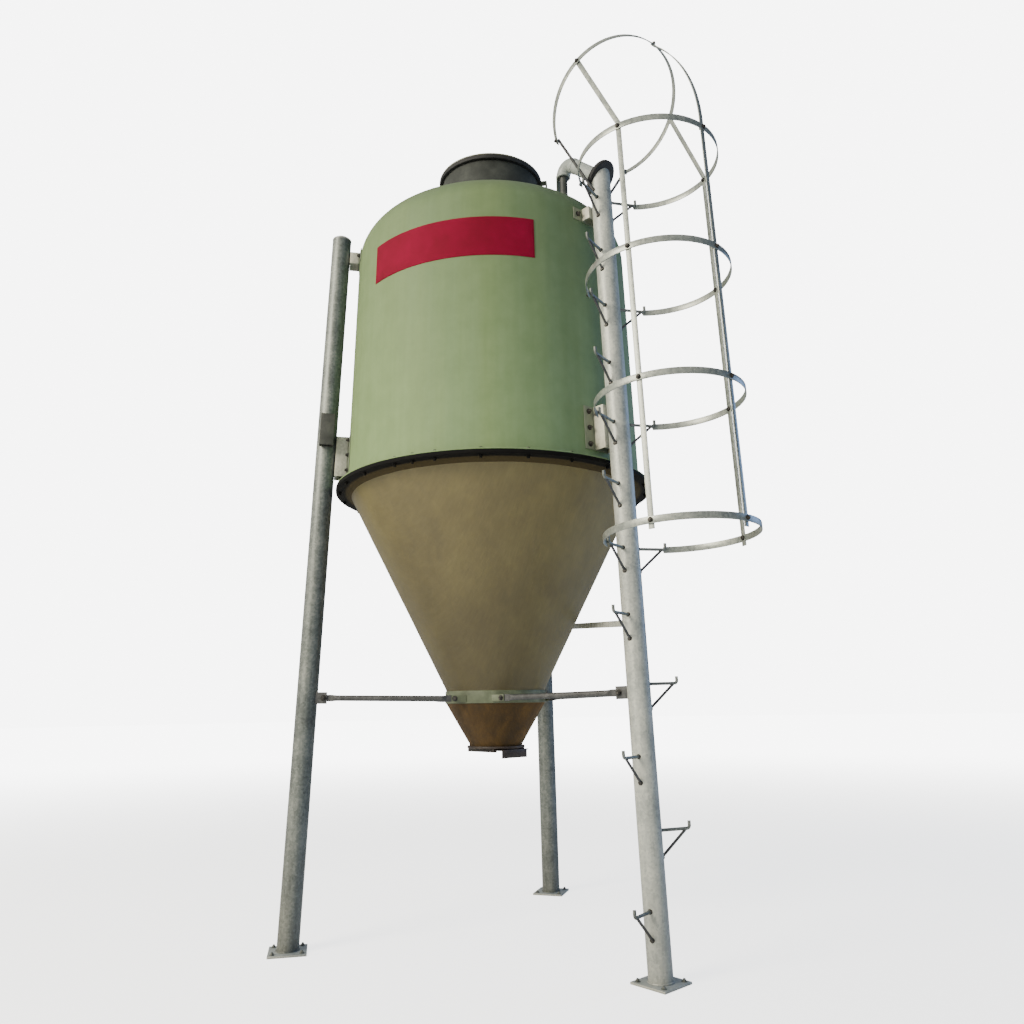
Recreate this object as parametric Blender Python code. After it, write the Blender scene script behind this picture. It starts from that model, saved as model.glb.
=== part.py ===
"""Polyester silo on three leaning tube legs, one of them a climbing pole with a safety cage.

Metres, +Z up. The climbing pole stands at -Y, the other two legs at 120 degrees from it.
The origin is on the ground at the middle of the whole object's box.
"""
import math

import bmesh
import bpy
from mathutils import Matrix, Vector

GAP = 0.0003
SHARP_ANGLE = math.radians(30)
CUTTER = 0.2

# Shell of revolution: a bell with a domed roof, bolted on a cone
SIDES = 48
SHELL_WALL = 0.006
FLANGE_RADIUS = 0.841
CONE_FLANGE_LOW = 2.190
CONE_FLANGE_TOP = 2.2094
BODY_FLANGE_TOP = 2.2170
BODY_FLANGE_INSET = 0.002
BODY_RADIUS = 0.785
BODY_DRAFT = 0.0252
BODY_TOP = 3.450
KNUCKLE_RADIUS = 0.200
KNUCKLE_START = 3.520
KNUCKLE_STEPS = 7
CROWN_SLOPE = math.radians(8)
ROOF_HOLE_RADIUS = 0.250

CONE_TOP_RADIUS = 0.7675
NECK_RADIUS = 0.2535
NECK_TOP = 1.170
NECK_JOINT = 1.130
COLLAR_FOOT = 1.104
BAND_TOP = 1.166
BAND_WALL = 0.004
OUTLET_RADIUS = 0.132
OUTLET_TOP = 0.895
OUTLET_FLANGE_RADIUS = 0.146
OUTLET_FLANGE_THICK = 0.012
OUTLET_BORE = 0.088

# Filling hatch
COLLAR_RADIUS = 0.284
COLLAR_WALL = 0.008
COLLAR_TOP = 4.078
LID_RADIUS = 0.303
LID_RIM = 0.034
LID_CROWN = 0.030
LID_TURN = math.radians(40)
HINGE_REACH = 0.335
HINGE_HEIGHT = 4.087
HINGE_PIN = 0.006
HINGE_CLEARANCE = 0.0006
HINGE_PIN_HALF = 0.048
BARREL_RADIUS = 0.010
BARREL_HALF = 0.028
EAR_ACROSS = 0.038
EAR_THICK = 0.008
EAR_DROP = 0.060
EAR_NOSE = 0.017
EAR_HALF_HEIGHT = 0.014
EAR_BACK = 0.020
LID_EDGE = 0.020
LID_SHELL = 0.010
LATCH_HALF_WIDTH = 0.020
LATCH_THICK = 0.008
LATCH_REACH = 0.034
LATCH_DROP = 0.030
LATCH_TOP = 0.014

# Slide gate under the outlet
GATE_HALF_WIDTH = 0.096
GATE_THICK = 0.005
GATE_TOP = 0.8785
GATE_CLEARANCE = 0.0015
GATE_FRONT = -0.136
GATE_BACK = 0.093
RAIL_WALL = 0.006
RAIL_LIP = 0.014
RAIL_FRONT = -0.100
RAIL_BACK = 0.094
RAIL_LOW = 0.866
PULL_HALF_WIDTH = 0.082
PULL_LOW = 0.838

# Legs
LEG_FOOT_RADIUS = 0.9865
LEG_LEAN = math.atan(0.0368)
TUBE_RADIUS = 0.0508
TUBE_WALL = 0.004
TUBE_SIDES = 24
LEG_LENGTH = 3.640
POLE_LENGTH = 3.765
FOOT_PLATE = 0.175
FOOT_THICK = 0.010
TUBE_FLOOR = 0.030
CAP_PLUG = 0.030
CAP_BRIM = 0.001
CAP_EDGE = 0.006
CAP_SHOULDER = 0.018
CAP_TOP = 0.022

# Steps and cage on the climbing pole, measured along the pole and turned a little about it
POLE_TURN = math.radians(-7.5)
STEP_PITCH = 0.300
FIRST_STEP = 0.275
LEFT_STEPS = (1, 3, 5, 6, 7, 8, 9, 10, 11, 12)
RIGHT_STEPS = (2, 4, 6, 8, 10, 12)
HOOP_STEPS = (6, 8, 10, 12)
STEP_ROD = 0.007
BRACE_ROD = 0.006
STEP_ACROSS = 0.1715
STEP_FORWARD = 0.063
STEP_BEND = 0.006
STEP_TIP_RISE = 0.030
STEP_BRACE_DROP = 0.105
BRACE_HEAD = (0.020, 0.004)
ROD_SIDES = 8
ROD_SINK = 0.002
HOOP_OFFSET = 0.330
HOOP_BAR = (0.005, 0.030)
HOOP_FACET = math.radians(9)
HOOP_FACETS = 33
TOP_HOOP_RADIUS = 0.337
TOP_HOOP_OFFSET = 0.147
TOP_HOOP_HEIGHT = 4.017
TOP_HOOP_TILT = math.radians(37)
TOP_HOOP_FACETS = 31
TOP_HOOP_ARM = math.radians(136)
TOP_HOOP_ARM_ROOT = 3.620
STRAP_BAR = (0.005, 0.025)
STRAP_ANGLES = {"left": math.radians(-67), "middle": math.radians(5), "right": math.radians(78)}
STRAP_TOP_ANGLES = {"left": math.radians(-70), "middle": math.radians(5), "right": math.radians(75)}
STRAP_TAIL = 0.035
STRAP_HEAD_GAP = 0.0010
STRAP_ARC_STEPS = 6

# Ties and brackets
TIE_HEIGHT_LEG = 1.140
TIE_HEIGHT_RING = 1.128
TIE_SPREAD = math.radians(35)
TIE_ROD = 0.0135
TIE_FLAT = (0.006, 0.032)
TIE_FLAT_LENGTH = 0.055
TIE_TAPER = (0.015, 0.010)
TIE_END = 0.014
TIE_SIDES = 8
LUG_HOLE_REACH = 0.030
LEG_LUG_HEIGHT = 0.056
LUG_HALF_GAP = 0.032
RING_LUG_ROOT = 0.026
LEG_LUG_ROOT = 0.020
UPPER_BRACKET = (3.490, 3.556)
LOWER_BRACKET = (2.265, 2.480)
BRACKET_HALF_WIDTH = 0.045
BRACKET_WALL = 0.005
BRACKET_SINK = 0.003
UPPER_TIE_HEIGHTS = (1.440, 1.560)
UPPER_TIE_GAP = 0.0020
POCKET_LOW = 2.420
POCKET_HIGH = 2.590
POCKET_DEPTH = 0.042
POCKET_HALF_WIDTH = 0.036
POCKET_WALL = 0.004

# Vent
VENT_RADIUS = 0.037
VENT_WALL = 0.003
VENT_REACH = 0.595
VENT_BEND = 0.042
VENT_DROP_RADIUS = 0.021
VENT_SIDES = 16
VENT_BEND_STEPS = 7
MITRE = math.radians(45)
SLEEVE_MARGIN = 0.020
SLEEVE_BELOW = 0.018
SLEEVE_ABOVE = 0.010
STRIP_BAR = (0.030, 0.004)
STRIP_REACH = 0.500

RING_OUTER_RADIUS = NECK_RADIUS + GAP + BAND_WALL
STEP_TIP_DISTANCE = math.hypot(HOOP_OFFSET - STEP_FORWARD, STEP_ACROSS)
HOOP_INNER = STEP_TIP_DISTANCE + STEP_ROD + GAP
HOOP_RADIUS = HOOP_INNER + HOOP_BAR[0] / 2


def step_height(level):
    return FIRST_STEP + (level - 1) * STEP_PITCH


LOWEST_HOOP_EDGE = step_height(HOOP_STEPS[0]) - HOOP_BAR[1] / 2
FRONT_REACH = (
    LEG_FOOT_RADIUS
    + (HOOP_OFFSET * math.cos(POLE_TURN) + HOOP_RADIUS + HOOP_BAR[0] / 2) * math.cos(LEG_LEAN)
    - LOWEST_HOOP_EDGE * math.sin(LEG_LEAN)
)
AXIS_Y = (FRONT_REACH - FLANGE_RADIUS) / 2


def wall_radius(z):
    return BODY_RADIUS - BODY_DRAFT * (z - BODY_FLANGE_TOP)


def leg_radius(z):
    return LEG_FOOT_RADIUS - math.tan(LEG_LEAN) * z


# Scene and materials
def clear_scene():
    for obj in list(bpy.data.objects):
        bpy.data.objects.remove(obj, do_unlink=True)


def make_material(name, color, roughness, metallic=0.0):
    mat = bpy.data.materials.new(name)
    mat.use_nodes = True
    shader = mat.node_tree.nodes["Principled BSDF"]
    shader.inputs["Base Color"].default_value = (*color, 1.0)
    shader.inputs["Roughness"].default_value = roughness
    shader.inputs["Metallic"].default_value = metallic
    return mat


def make_empty(name, parent=None, location=(0, 0, 0), rotation=(0, 0, 0)):
    empty = bpy.data.objects.new(name, None)
    bpy.context.collection.objects.link(empty)
    empty.parent = parent
    empty.location = location
    empty.rotation_euler = rotation
    return empty


# Modelling helpers
def finish_mesh(bm, name):
    bmesh.ops.remove_doubles(bm, verts=bm.verts, dist=0.00001)
    bmesh.ops.recalc_face_normals(bm, faces=bm.faces)
    mesh = bpy.data.meshes.new(name)
    bm.to_mesh(mesh)
    bm.free()
    return mesh


def add_object(name, mesh, material, parent, location=(0, 0, 0), rotation=(0, 0, 0)):
    obj = bpy.data.objects.new(name, mesh)
    bpy.context.collection.objects.link(obj)
    mesh.materials.clear()
    mesh.materials.append(material)
    mesh.shade_smooth()
    mesh.set_sharp_from_angle(angle=SHARP_ANGLE)
    obj.parent = parent
    obj.location = location
    obj.rotation_euler = rotation
    return obj


def turned(profile, closed=True, sides=SIDES):
    """Solid of revolution about Z from an outline of (radius, height) points."""
    bm = bmesh.new()
    verts = [bm.verts.new((0.0, -r, z)) for r, z in profile]
    edges = [bm.edges.new(pair) for pair in zip(verts, verts[1:])]
    if closed:
        edges.append(bm.edges.new((verts[-1], verts[0])))
    bmesh.ops.spin(
        bm, geom=verts + edges, cent=(0, 0, 0), axis=(0, 0, 1), angle=math.tau, steps=sides, use_merge=True
    )
    return finish_mesh(bm, "turned")


def solid_box(low, high, matrix=Matrix()):
    bm = bmesh.new()
    low, high = Vector(low), Vector(high)
    place = Matrix.Translation((low + high) / 2) @ Matrix.Diagonal((*(high - low), 1.0))
    bmesh.ops.create_cube(bm, size=1.0, matrix=matrix @ place)
    return finish_mesh(bm, "box")


def rod(radius, start, end, sides=TUBE_SIDES):
    """Straight round bar between two points."""
    start, end = Vector(start), Vector(end)
    along = end - start
    turn = along.to_track_quat("Z", "Y").to_matrix().to_4x4()
    bm = bmesh.new()
    bmesh.ops.create_cone(
        bm, cap_ends=True, segments=sides, radius1=radius, radius2=radius, depth=along.length,
        matrix=Matrix.Translation((start + end) / 2) @ turn
    )
    return finish_mesh(bm, "rod")


def extruded(outline, thickness, matrix):
    """Plate from an outline in the matrix's XY plane, thickened along its Z both ways."""
    bm = bmesh.new()
    face = bm.faces.new([bm.verts.new((x, y, -thickness / 2)) for x, y in outline])
    grown = bmesh.ops.extrude_face_region(bm, geom=[face])["geom"]
    raised = [v for v in grown if isinstance(v, bmesh.types.BMVert)]
    bmesh.ops.translate(bm, verts=raised, vec=(0, 0, thickness))
    bmesh.ops.transform(bm, matrix=matrix, verts=bm.verts)
    return finish_mesh(bm, "plate")


def swept(points, section, up):
    """Bar along a path. section(i) is the outline at point i, its first axis sideways and its second up."""
    bm = bmesh.new()
    points = [Vector(p) for p in points]
    rings = []
    for i, point in enumerate(points):
        before = points[max(i - 1, 0)]
        after = points[min(i + 1, len(points) - 1)]
        along = (after - before).normalized()
        side = along.cross(Vector(up)).normalized()
        top = side.cross(along)
        rings.append([bm.verts.new(point + side * x + top * y) for x, y in section(i)])
    count = len(rings[0])
    for ring, following in zip(rings, rings[1:]):
        for j in range(count):
            k = (j + 1) % count
            bm.faces.new((ring[j], ring[k], following[k], following[j]))
    bm.faces.new(rings[0])
    bm.faces.new(rings[-1])
    return finish_mesh(bm, "bar")


def round_section(radius, sides):
    angles = [math.tau * (j + 0.5) / sides for j in range(sides)]
    return [(radius * math.cos(a), radius * math.sin(a)) for a in angles]


def flat_section(width, height):
    x, y = width / 2, height / 2
    return [(-x, -y), (x, -y), (x, y), (-x, y)]


def arc_points(radius, start, end, steps, matrix=Matrix()):
    """Points on a circle in the matrix's XY plane, angle 0 at -Y and growing towards +X."""
    angles = [start + (end - start) * i / steps for i in range(steps + 1)]
    return [matrix @ Vector((radius * math.sin(a), -radius * math.cos(a), 0)) for a in angles]


def combined(base, others, operation):
    """Boolean of one mesh with several others, as a new mesh."""
    body = bpy.data.objects.new("base", base)
    bpy.context.collection.objects.link(body)
    tools = []
    for mesh in others:
        tool = bpy.data.objects.new("tool", mesh)
        bpy.context.collection.objects.link(tool)
        boolean = body.modifiers.new("boolean", "BOOLEAN")
        boolean.solver = "EXACT"
        boolean.operation = operation
        boolean.object = tool
        tools.append(tool)
    evaluated = body.evaluated_get(bpy.context.evaluated_depsgraph_get())
    result = bpy.data.meshes.new_from_object(evaluated)
    for obj in [body, *tools]:
        bpy.data.objects.remove(obj, do_unlink=True)
    bm = bmesh.new()
    bm.from_mesh(result)
    bmesh.ops.dissolve_degenerate(bm, dist=0.00001, edges=bm.edges)
    return finish_mesh(bm, "combined")


def union(base, *others):
    return combined(base, others, "UNION")


def difference(base, *others):
    return combined(base, others, "DIFFERENCE")


# Shell
def body_profile():
    foot = CONE_FLANGE_TOP + GAP
    return [
        (wall_radius(foot) - SHELL_WALL, foot),
        (wall_radius(foot), foot),
        (wall_radius(BODY_TOP), BODY_TOP),
        (wall_radius(BODY_TOP) - SHELL_WALL, BODY_TOP),
    ]


def flat_ring(inner, outer, low, high):
    return [(inner, low), (outer, low), (outer, high), (inner, high)]


def roof_height(radius):
    """Outer surface of the roof crown over a radius inside the knuckle."""
    centre = wall_radius(KNUCKLE_START) - KNUCKLE_RADIUS
    tangent = centre + KNUCKLE_RADIUS * math.sin(CROWN_SLOPE)
    height = KNUCKLE_START + KNUCKLE_RADIUS * math.cos(CROWN_SLOPE)
    return height + (tangent - radius) * math.tan(CROWN_SLOPE)


def roof_profile():
    foot = BODY_TOP + GAP
    centre = wall_radius(KNUCKLE_START) - KNUCKLE_RADIUS
    arc = [i / KNUCKLE_STEPS * (math.pi / 2 - CROWN_SLOPE) for i in range(KNUCKLE_STEPS + 1)]
    inner_radius = KNUCKLE_RADIUS - SHELL_WALL
    outer, inner = (
        [(centre + radius * math.cos(a), KNUCKLE_START + radius * math.sin(a)) for a in arc]
        for radius in (KNUCKLE_RADIUS, inner_radius)
    )
    rim = roof_height(ROOF_HOLE_RADIUS)
    top = [(ROOF_HOLE_RADIUS, rim), (ROOF_HOLE_RADIUS, rim - SHELL_WALL / math.cos(CROWN_SLOPE))]
    foot_pair = [(wall_radius(foot) - SHELL_WALL, foot), (wall_radius(foot), foot)]
    return foot_pair + outer + top + inner[::-1]


def cone_profile():
    inner = SHELL_WALL / math.cos(math.atan((CONE_TOP_RADIUS - NECK_RADIUS) / (CONE_FLANGE_LOW - NECK_TOP)))
    return [
        (NECK_RADIUS, NECK_JOINT + GAP),
        (NECK_RADIUS, NECK_TOP),
        (CONE_TOP_RADIUS, CONE_FLANGE_LOW),
        (CONE_TOP_RADIUS, CONE_FLANGE_TOP),
        (CONE_TOP_RADIUS - inner, CONE_FLANGE_TOP),
        (CONE_TOP_RADIUS - inner, CONE_FLANGE_LOW),
        (NECK_RADIUS - SHELL_WALL, NECK_TOP),
        (NECK_RADIUS - SHELL_WALL, NECK_JOINT + GAP),
    ]


def lower_cone_profile():
    low = OUTLET_TOP + GAP
    return [
        (OUTLET_RADIUS, low),
        (NECK_RADIUS, COLLAR_FOOT),
        (NECK_RADIUS, NECK_JOINT),
        (NECK_RADIUS - SHELL_WALL, NECK_JOINT),
        (NECK_RADIUS - SHELL_WALL, COLLAR_FOOT),
        (OUTLET_RADIUS - SHELL_WALL, low),
    ]


def build_shell(parent, mats):
    foot = CONE_FLANGE_TOP + GAP
    add_object("body_shell", turned(body_profile()), mats["green"], parent)
    rim = flat_ring(wall_radius(foot) + GAP, FLANGE_RADIUS - BODY_FLANGE_INSET, foot, BODY_FLANGE_TOP)
    add_object("body_flange", turned(rim), mats["green"], parent)
    middle = Vector((0, -VENT_REACH, roof_height(VENT_REACH)))
    reach = Vector((0, 0, 3 * VENT_DROP_RADIUS))
    hole = rod(VENT_DROP_RADIUS + 2 * GAP, middle - reach, middle + reach)
    add_object("roof_dome", difference(turned(roof_profile()), hole), mats["green"], parent)
    add_object("cone_shell", turned(cone_profile()), mats["cone"], parent)
    rim = flat_ring(CONE_TOP_RADIUS + GAP, FLANGE_RADIUS, CONE_FLANGE_LOW, CONE_FLANGE_TOP)
    add_object("cone_flange", turned(rim), mats["cone"], parent)
    add_object("lower_cone", turned(lower_cone_profile()), mats["cone"], parent)
    rim = flat_ring(OUTLET_BORE, OUTLET_FLANGE_RADIUS, OUTLET_TOP - OUTLET_FLANGE_THICK, OUTLET_TOP)
    add_object("outlet_flange", turned(rim), mats["grey"], parent)


# Ring band and the tie bars to the legs
def tie_ends(side):
    """Leg and ring ends of one tie bar in its leg's bay, side -1 or 1."""
    leg = leg_radius(TIE_HEIGHT_LEG) - TUBE_RADIUS - LUG_HOLE_REACH
    leg_end = Vector((side * LUG_HALF_GAP, -leg, TIE_HEIGHT_LEG))
    ring = RING_OUTER_RADIUS + LUG_HOLE_REACH
    ring_end = Vector((side * ring * math.sin(TIE_SPREAD), -ring * math.cos(TIE_SPREAD), TIE_HEIGHT_RING))
    return leg_end, ring_end


def tie_direction(side):
    leg_end, ring_end = tie_ends(side)
    return (ring_end - leg_end).normalized()


def lug(hole, side, length, height):
    """Flat plate beside the flattened end of a tie bar, running on past its hole by length."""
    along = tie_direction(side)
    aside = along.cross(Vector((0, 0, 1))).normalized() * side
    centre = hole + aside * (TIE_FLAT[0] + GAP)
    points = [centre - along * TIE_FLAT[1] / 2 * math.copysign(1, length), centre + along * length]
    return swept(points, lambda i: flat_section(TIE_FLAT[0], height), (0, 0, 1))


def build_ring(parent, bays, mats):
    disc = rod(RING_OUTER_RADIUS, (0, 0, COLLAR_FOOT), (0, 0, BAND_TOP), SIDES)
    lugs = []
    for bay in bays:
        for side in (-1, 1):
            plate = lug(tie_ends(side)[1], side, LUG_HOLE_REACH + RING_LUG_ROOT, TIE_FLAT[1])
            plate.transform(Matrix.Rotation(bay.rotation_euler.z, 4, "Z"))
            lugs.append(plate)
    bore = rod(NECK_RADIUS + GAP, (0, 0, COLLAR_FOOT - CUTTER / 2), (0, 0, BAND_TOP + CUTTER / 2), SIDES)
    add_object("ring_band", difference(union(disc, *lugs), bore), mats["band"], parent)


def build_tie(name, bay, side, mats):
    leg_end, ring_end = tie_ends(side)
    along = tie_direction(side)
    span = (ring_end - leg_end).length
    stations = [-TIE_END, TIE_FLAT_LENGTH - TIE_TAPER[0], TIE_FLAT_LENGTH + TIE_TAPER[1]]
    stations += [span - s for s in reversed(stations)]
    flat = [(x * TIE_FLAT[0] / 2, y * TIE_FLAT[1] / 2) for x, y in
            ((-1, -1), (1, -1), (1, -0.4), (1, 0.4), (1, 1), (-1, 1), (-1, 0.4), (-1, -0.4))]
    turn = [math.tau * (k - 2.5) / TIE_SIDES for k in range(TIE_SIDES)]
    tube = [(TIE_ROD * math.cos(a), TIE_ROD * math.sin(a)) for a in turn]
    sections = [flat, flat, tube, tube, flat, flat]
    points = [leg_end + along * s for s in stations]
    mesh = swept(points, lambda i: sections[i], (0, 0, 1))
    add_object(name, mesh, mats["steel"], bay)


# Filling hatch
def hinge_rod(radius, half_length):
    """Round bar on the lid's hinge line."""
    left, right = [(x, HINGE_REACH, HINGE_HEIGHT) for x in (-half_length, half_length)]
    return rod(radius, left, right, VENT_SIDES)


def build_hatch(parent, mats):
    hatch = make_empty("hatch_turn", parent, (0, 0, 0), (0, 0, LID_TURN))
    inner = COLLAR_RADIUS - COLLAR_WALL
    collar = turned([
        (inner, roof_height(inner) + GAP),
        (COLLAR_RADIUS, roof_height(COLLAR_RADIUS) + GAP),
        (COLLAR_RADIUS, COLLAR_TOP - GAP),
        (inner, COLLAR_TOP - GAP),
    ])
    top = COLLAR_TOP - EAR_THICK
    root = COLLAR_RADIUS - COLLAR_WALL / 2
    nose = HINGE_REACH + EAR_NOSE
    back = HINGE_REACH - EAR_BACK
    ear_low, ear_high = HINGE_HEIGHT - EAR_HALF_HEIGHT, HINGE_HEIGHT + EAR_HALF_HEIGHT
    ear = [(root, top - EAR_DROP), (nose, ear_low), (nose, ear_high),
           (back, ear_high), (back - COLLAR_WALL / 2, top), (root, top)]
    stand = Matrix(((0, 0, 1, 0), (1, 0, 0, 0), (0, 1, 0, 0), (0, 0, 0, 1)))
    places = [Matrix.Translation((x, 0, 0)) @ stand for x in (-EAR_ACROSS, EAR_ACROSS)]
    ears = [extruded(ear, EAR_THICK, place) for place in places]
    pin_hole = hinge_rod(HINGE_PIN + HINGE_CLEARANCE, CUTTER / 2)
    collar = difference(union(collar, *ears), pin_hole)
    add_object("hatch_collar", collar, mats["grey"], hatch)

    rim = COLLAR_TOP + LID_RIM
    crown = rim + LID_CROWN
    lid = turned([
        (0.0, crown),
        (LID_RADIUS * 0.55, rim + LID_CROWN * 0.72),
        (LID_RADIUS - LID_EDGE, rim),
        (LID_RADIUS, rim),
        (LID_RADIUS, COLLAR_TOP),
        (inner - COLLAR_WALL, COLLAR_TOP),
        (inner - COLLAR_WALL - 0.006, rim - COLLAR_WALL),
        (0.0, crown - LID_SHELL),
    ], closed=False)
    arm = solid_box((-BARREL_HALF, LID_RADIUS - LID_EDGE, COLLAR_TOP + LATCH_THICK / 2),
                    (BARREL_HALF, HINGE_REACH, HINGE_HEIGHT + EAR_THICK))
    barrel = hinge_rod(BARREL_RADIUS, BARREL_HALF)
    pin = hinge_rod(HINGE_PIN, HINGE_PIN_HALF)
    front = -LID_RADIUS - LATCH_REACH
    latch = solid_box((-LATCH_HALF_WIDTH, front + 0.006, COLLAR_TOP + LATCH_TOP - LATCH_THICK),
                      (LATCH_HALF_WIDTH, -LID_RADIUS + LID_EDGE, COLLAR_TOP + LATCH_TOP))
    catch = solid_box((-LATCH_HALF_WIDTH, front, COLLAR_TOP - LATCH_DROP),
                      (LATCH_HALF_WIDTH, front + LATCH_THICK, COLLAR_TOP + LATCH_TOP))
    pivot = make_empty("lid_pivot", hatch, (0, HINGE_REACH, HINGE_HEIGHT))
    lid = union(lid, arm, barrel, pin, latch, catch)
    lid.transform(Matrix.Translation((0, -HINGE_REACH, -HINGE_HEIGHT)))
    add_object("hatch_lid", lid, mats["olive"], pivot)


# Slide gate
def build_gate(parent, mats):
    under_flange = OUTLET_TOP - OUTLET_FLANGE_THICK - GAP
    rail_out = GATE_HALF_WIDTH + GATE_CLEARANCE + RAIL_WALL
    low_lip = GATE_TOP - GATE_THICK - GAP
    back = RAIL_BACK + RAIL_WALL
    rails = []
    for side in (-1, 1):
        wall = sorted((side * (GATE_HALF_WIDTH + GATE_CLEARANCE), side * rail_out))
        lip = sorted((side * (GATE_HALF_WIDTH - RAIL_LIP), side * rail_out))
        rails.append(solid_box((wall[0], RAIL_FRONT, RAIL_LOW), (wall[1], back, under_flange)))
        rails.append(solid_box((lip[0], RAIL_FRONT, RAIL_LOW), (lip[1], back, low_lip)))
    stop = solid_box((-rail_out, RAIL_BACK, RAIL_LOW), (rail_out, back, under_flange))
    guides = union(stop, *rails)
    add_object("gate_guides", guides, mats["grey"], parent)

    low = GATE_TOP - GATE_THICK
    plate = solid_box((-GATE_HALF_WIDTH, GATE_FRONT, low), (GATE_HALF_WIDTH, GATE_BACK, GATE_TOP))
    pull = solid_box((-PULL_HALF_WIDTH, GATE_FRONT - GATE_THICK, PULL_LOW),
                     (PULL_HALF_WIDTH, GATE_FRONT + GAP, GATE_TOP))
    add_object("slide_gate", union(plate, pull), mats["steel"], parent)


# Legs
def leg_tube(length, lugs, extras, cut=None):
    """Hollow tube along the leg, closed at the foot, open at the top, which a cut may mitre."""
    inside = TUBE_RADIUS - TUBE_WALL
    foot = FOOT_THICK + GAP
    tube = rod(TUBE_RADIUS, (0, 0, -TUBE_RADIUS), (0, 0, length))
    if cut:
        tube = difference(tube, cut)
    tube = union(tube, *lugs, *extras)
    lean = Matrix.Rotation(LEG_LEAN, 4, "X")
    below = solid_box((-CUTTER, -CUTTER, -2 * CUTTER), (CUTTER, CUTTER, foot), lean)
    bore = rod(inside, (0, 0, TUBE_FLOOR), (0, 0, length + CUTTER / 2))
    return difference(tube, bore, below)


def tie_lugs():
    """The two plates welded to a leg for its tie bars, in the leg's leaning frame."""
    to_leg = (Matrix.Translation((0, -LEG_FOOT_RADIUS, 0)) @ Matrix.Rotation(-LEG_LEAN, 4, "X")).inverted()
    plates = []
    for side in (-1, 1):
        plate = lug(tie_ends(side)[0], side, -LUG_HOLE_REACH - LEG_LUG_ROOT, LEG_LUG_HEIGHT)
        plate.transform(to_leg)
        plates.append(plate)
    return plates


def step_meshes():
    """Bent rods of the steps: out to the tip, up, and a brace back down to the pole."""
    meshes = []
    root = TUBE_RADIUS - TUBE_WALL - ROD_SINK
    tread_section = round_section(STEP_ROD, ROD_SIDES)
    brace_section = round_section(BRACE_ROD, ROD_SIDES)
    for levels, side in ((LEFT_STEPS, -1), (RIGHT_STEPS, 1)):
        for level in levels:
            z = step_height(level)
            tip = Vector((side * STEP_ACROSS, -STEP_FORWARD, z))
            outward = Vector((tip.x, tip.y, 0)).normalized()
            start = outward * root + Vector((0, 0, z))
            bend = tip - outward * STEP_BEND
            tread = [start, bend, tip + Vector((0, 0, STEP_BEND)), tip + Vector((0, 0, STEP_TIP_RISE))]
            foot = outward * root + Vector((0, 0, z - STEP_BRACE_DROP))
            brace = [foot, tip - outward * BRACE_HEAD[0] - Vector((0, 0, BRACE_HEAD[1]))]
            aside = (-outward.y, outward.x, 0)
            meshes.append(swept(tread, lambda i: tread_section, aside))
            meshes.append(swept(brace, lambda i: brace_section, aside))
    return meshes


def mitre_frame():
    """Plane of the pole's slanted top, its Z up and towards the silo, in the leg's leaning frame."""
    return Matrix.Translation((0, 0, POLE_LENGTH - TUBE_RADIUS)) @ Matrix.Rotation(-MITRE, 4, "X")


def top_hoop_frame():
    place = Matrix.Translation((0, -TOP_HOOP_OFFSET, TOP_HOOP_HEIGHT))
    return place @ Matrix.Rotation(-TOP_HOOP_TILT, 4, "X")


def top_hoop_arms():
    """Rods from the pole's head to the two ends of the tilted top hoop."""
    meshes = []
    inner = TOP_HOOP_RADIUS - HOOP_BAR[0] / 2 - GAP - STEP_ROD
    root = TUBE_RADIUS - TUBE_WALL - ROD_SINK
    frame = top_hoop_frame()
    for side in (-1, 1):
        a = side * TOP_HOOP_ARM
        end = frame @ Vector((inner * math.sin(a), -inner * math.cos(a), 0))
        start = Vector((side * root, 0, TOP_HOOP_ARM_ROOT))
        meshes.append(swept([start, end], lambda i: round_section(STEP_ROD, ROD_SIDES), (0, 1, 0)))
    return meshes


def leg_cap():
    inside = TUBE_RADIUS - TUBE_WALL - GAP
    brim = TUBE_RADIUS + CAP_BRIM
    return turned([
        (0.0, LEG_LENGTH - CAP_PLUG), (inside, LEG_LENGTH - CAP_PLUG), (inside, LEG_LENGTH + GAP),
        (brim, LEG_LENGTH + GAP), (brim, LEG_LENGTH + CAP_EDGE),
        (TUBE_RADIUS * 0.75, LEG_LENGTH + CAP_SHOULDER), (0.0, LEG_LENGTH + CAP_TOP),
    ], closed=False, sides=TUBE_SIDES)


def build_legs(bays, mats):
    lines = {}
    for name, bay in bays.items():
        line = make_empty(name + "_leg_line", bay, (0, -LEG_FOOT_RADIUS, 0), (-LEG_LEAN, 0, 0))
        lines[name] = line
        if name == "front":
            extras = step_meshes() + top_hoop_arms()
            for extra in extras:
                extra.transform(Matrix.Rotation(POLE_TURN, 4, "Z"))
            cut = solid_box((-CUTTER, -CUTTER, 0), (CUTTER, CUTTER, 2 * CUTTER), mitre_frame())
            mesh = leg_tube(POLE_LENGTH + TUBE_RADIUS, tie_lugs(), extras, cut)
            add_object("climbing_pole", mesh, mats["steel"], line)
        else:
            add_object(name + "_leg", leg_tube(LEG_LENGTH, tie_lugs(), []), mats["steel"], line)
            add_object(name + "_leg_cap", leg_cap(), mats["grey"], line)
        half = FOOT_PLATE / 2
        plate = solid_box((-half, -half, 0), (half, half, FOOT_THICK))
        add_object(name + "_foot_plate", plate, mats["steel"], bay, (0, -LEG_FOOT_RADIUS, 0))
    return lines


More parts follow.
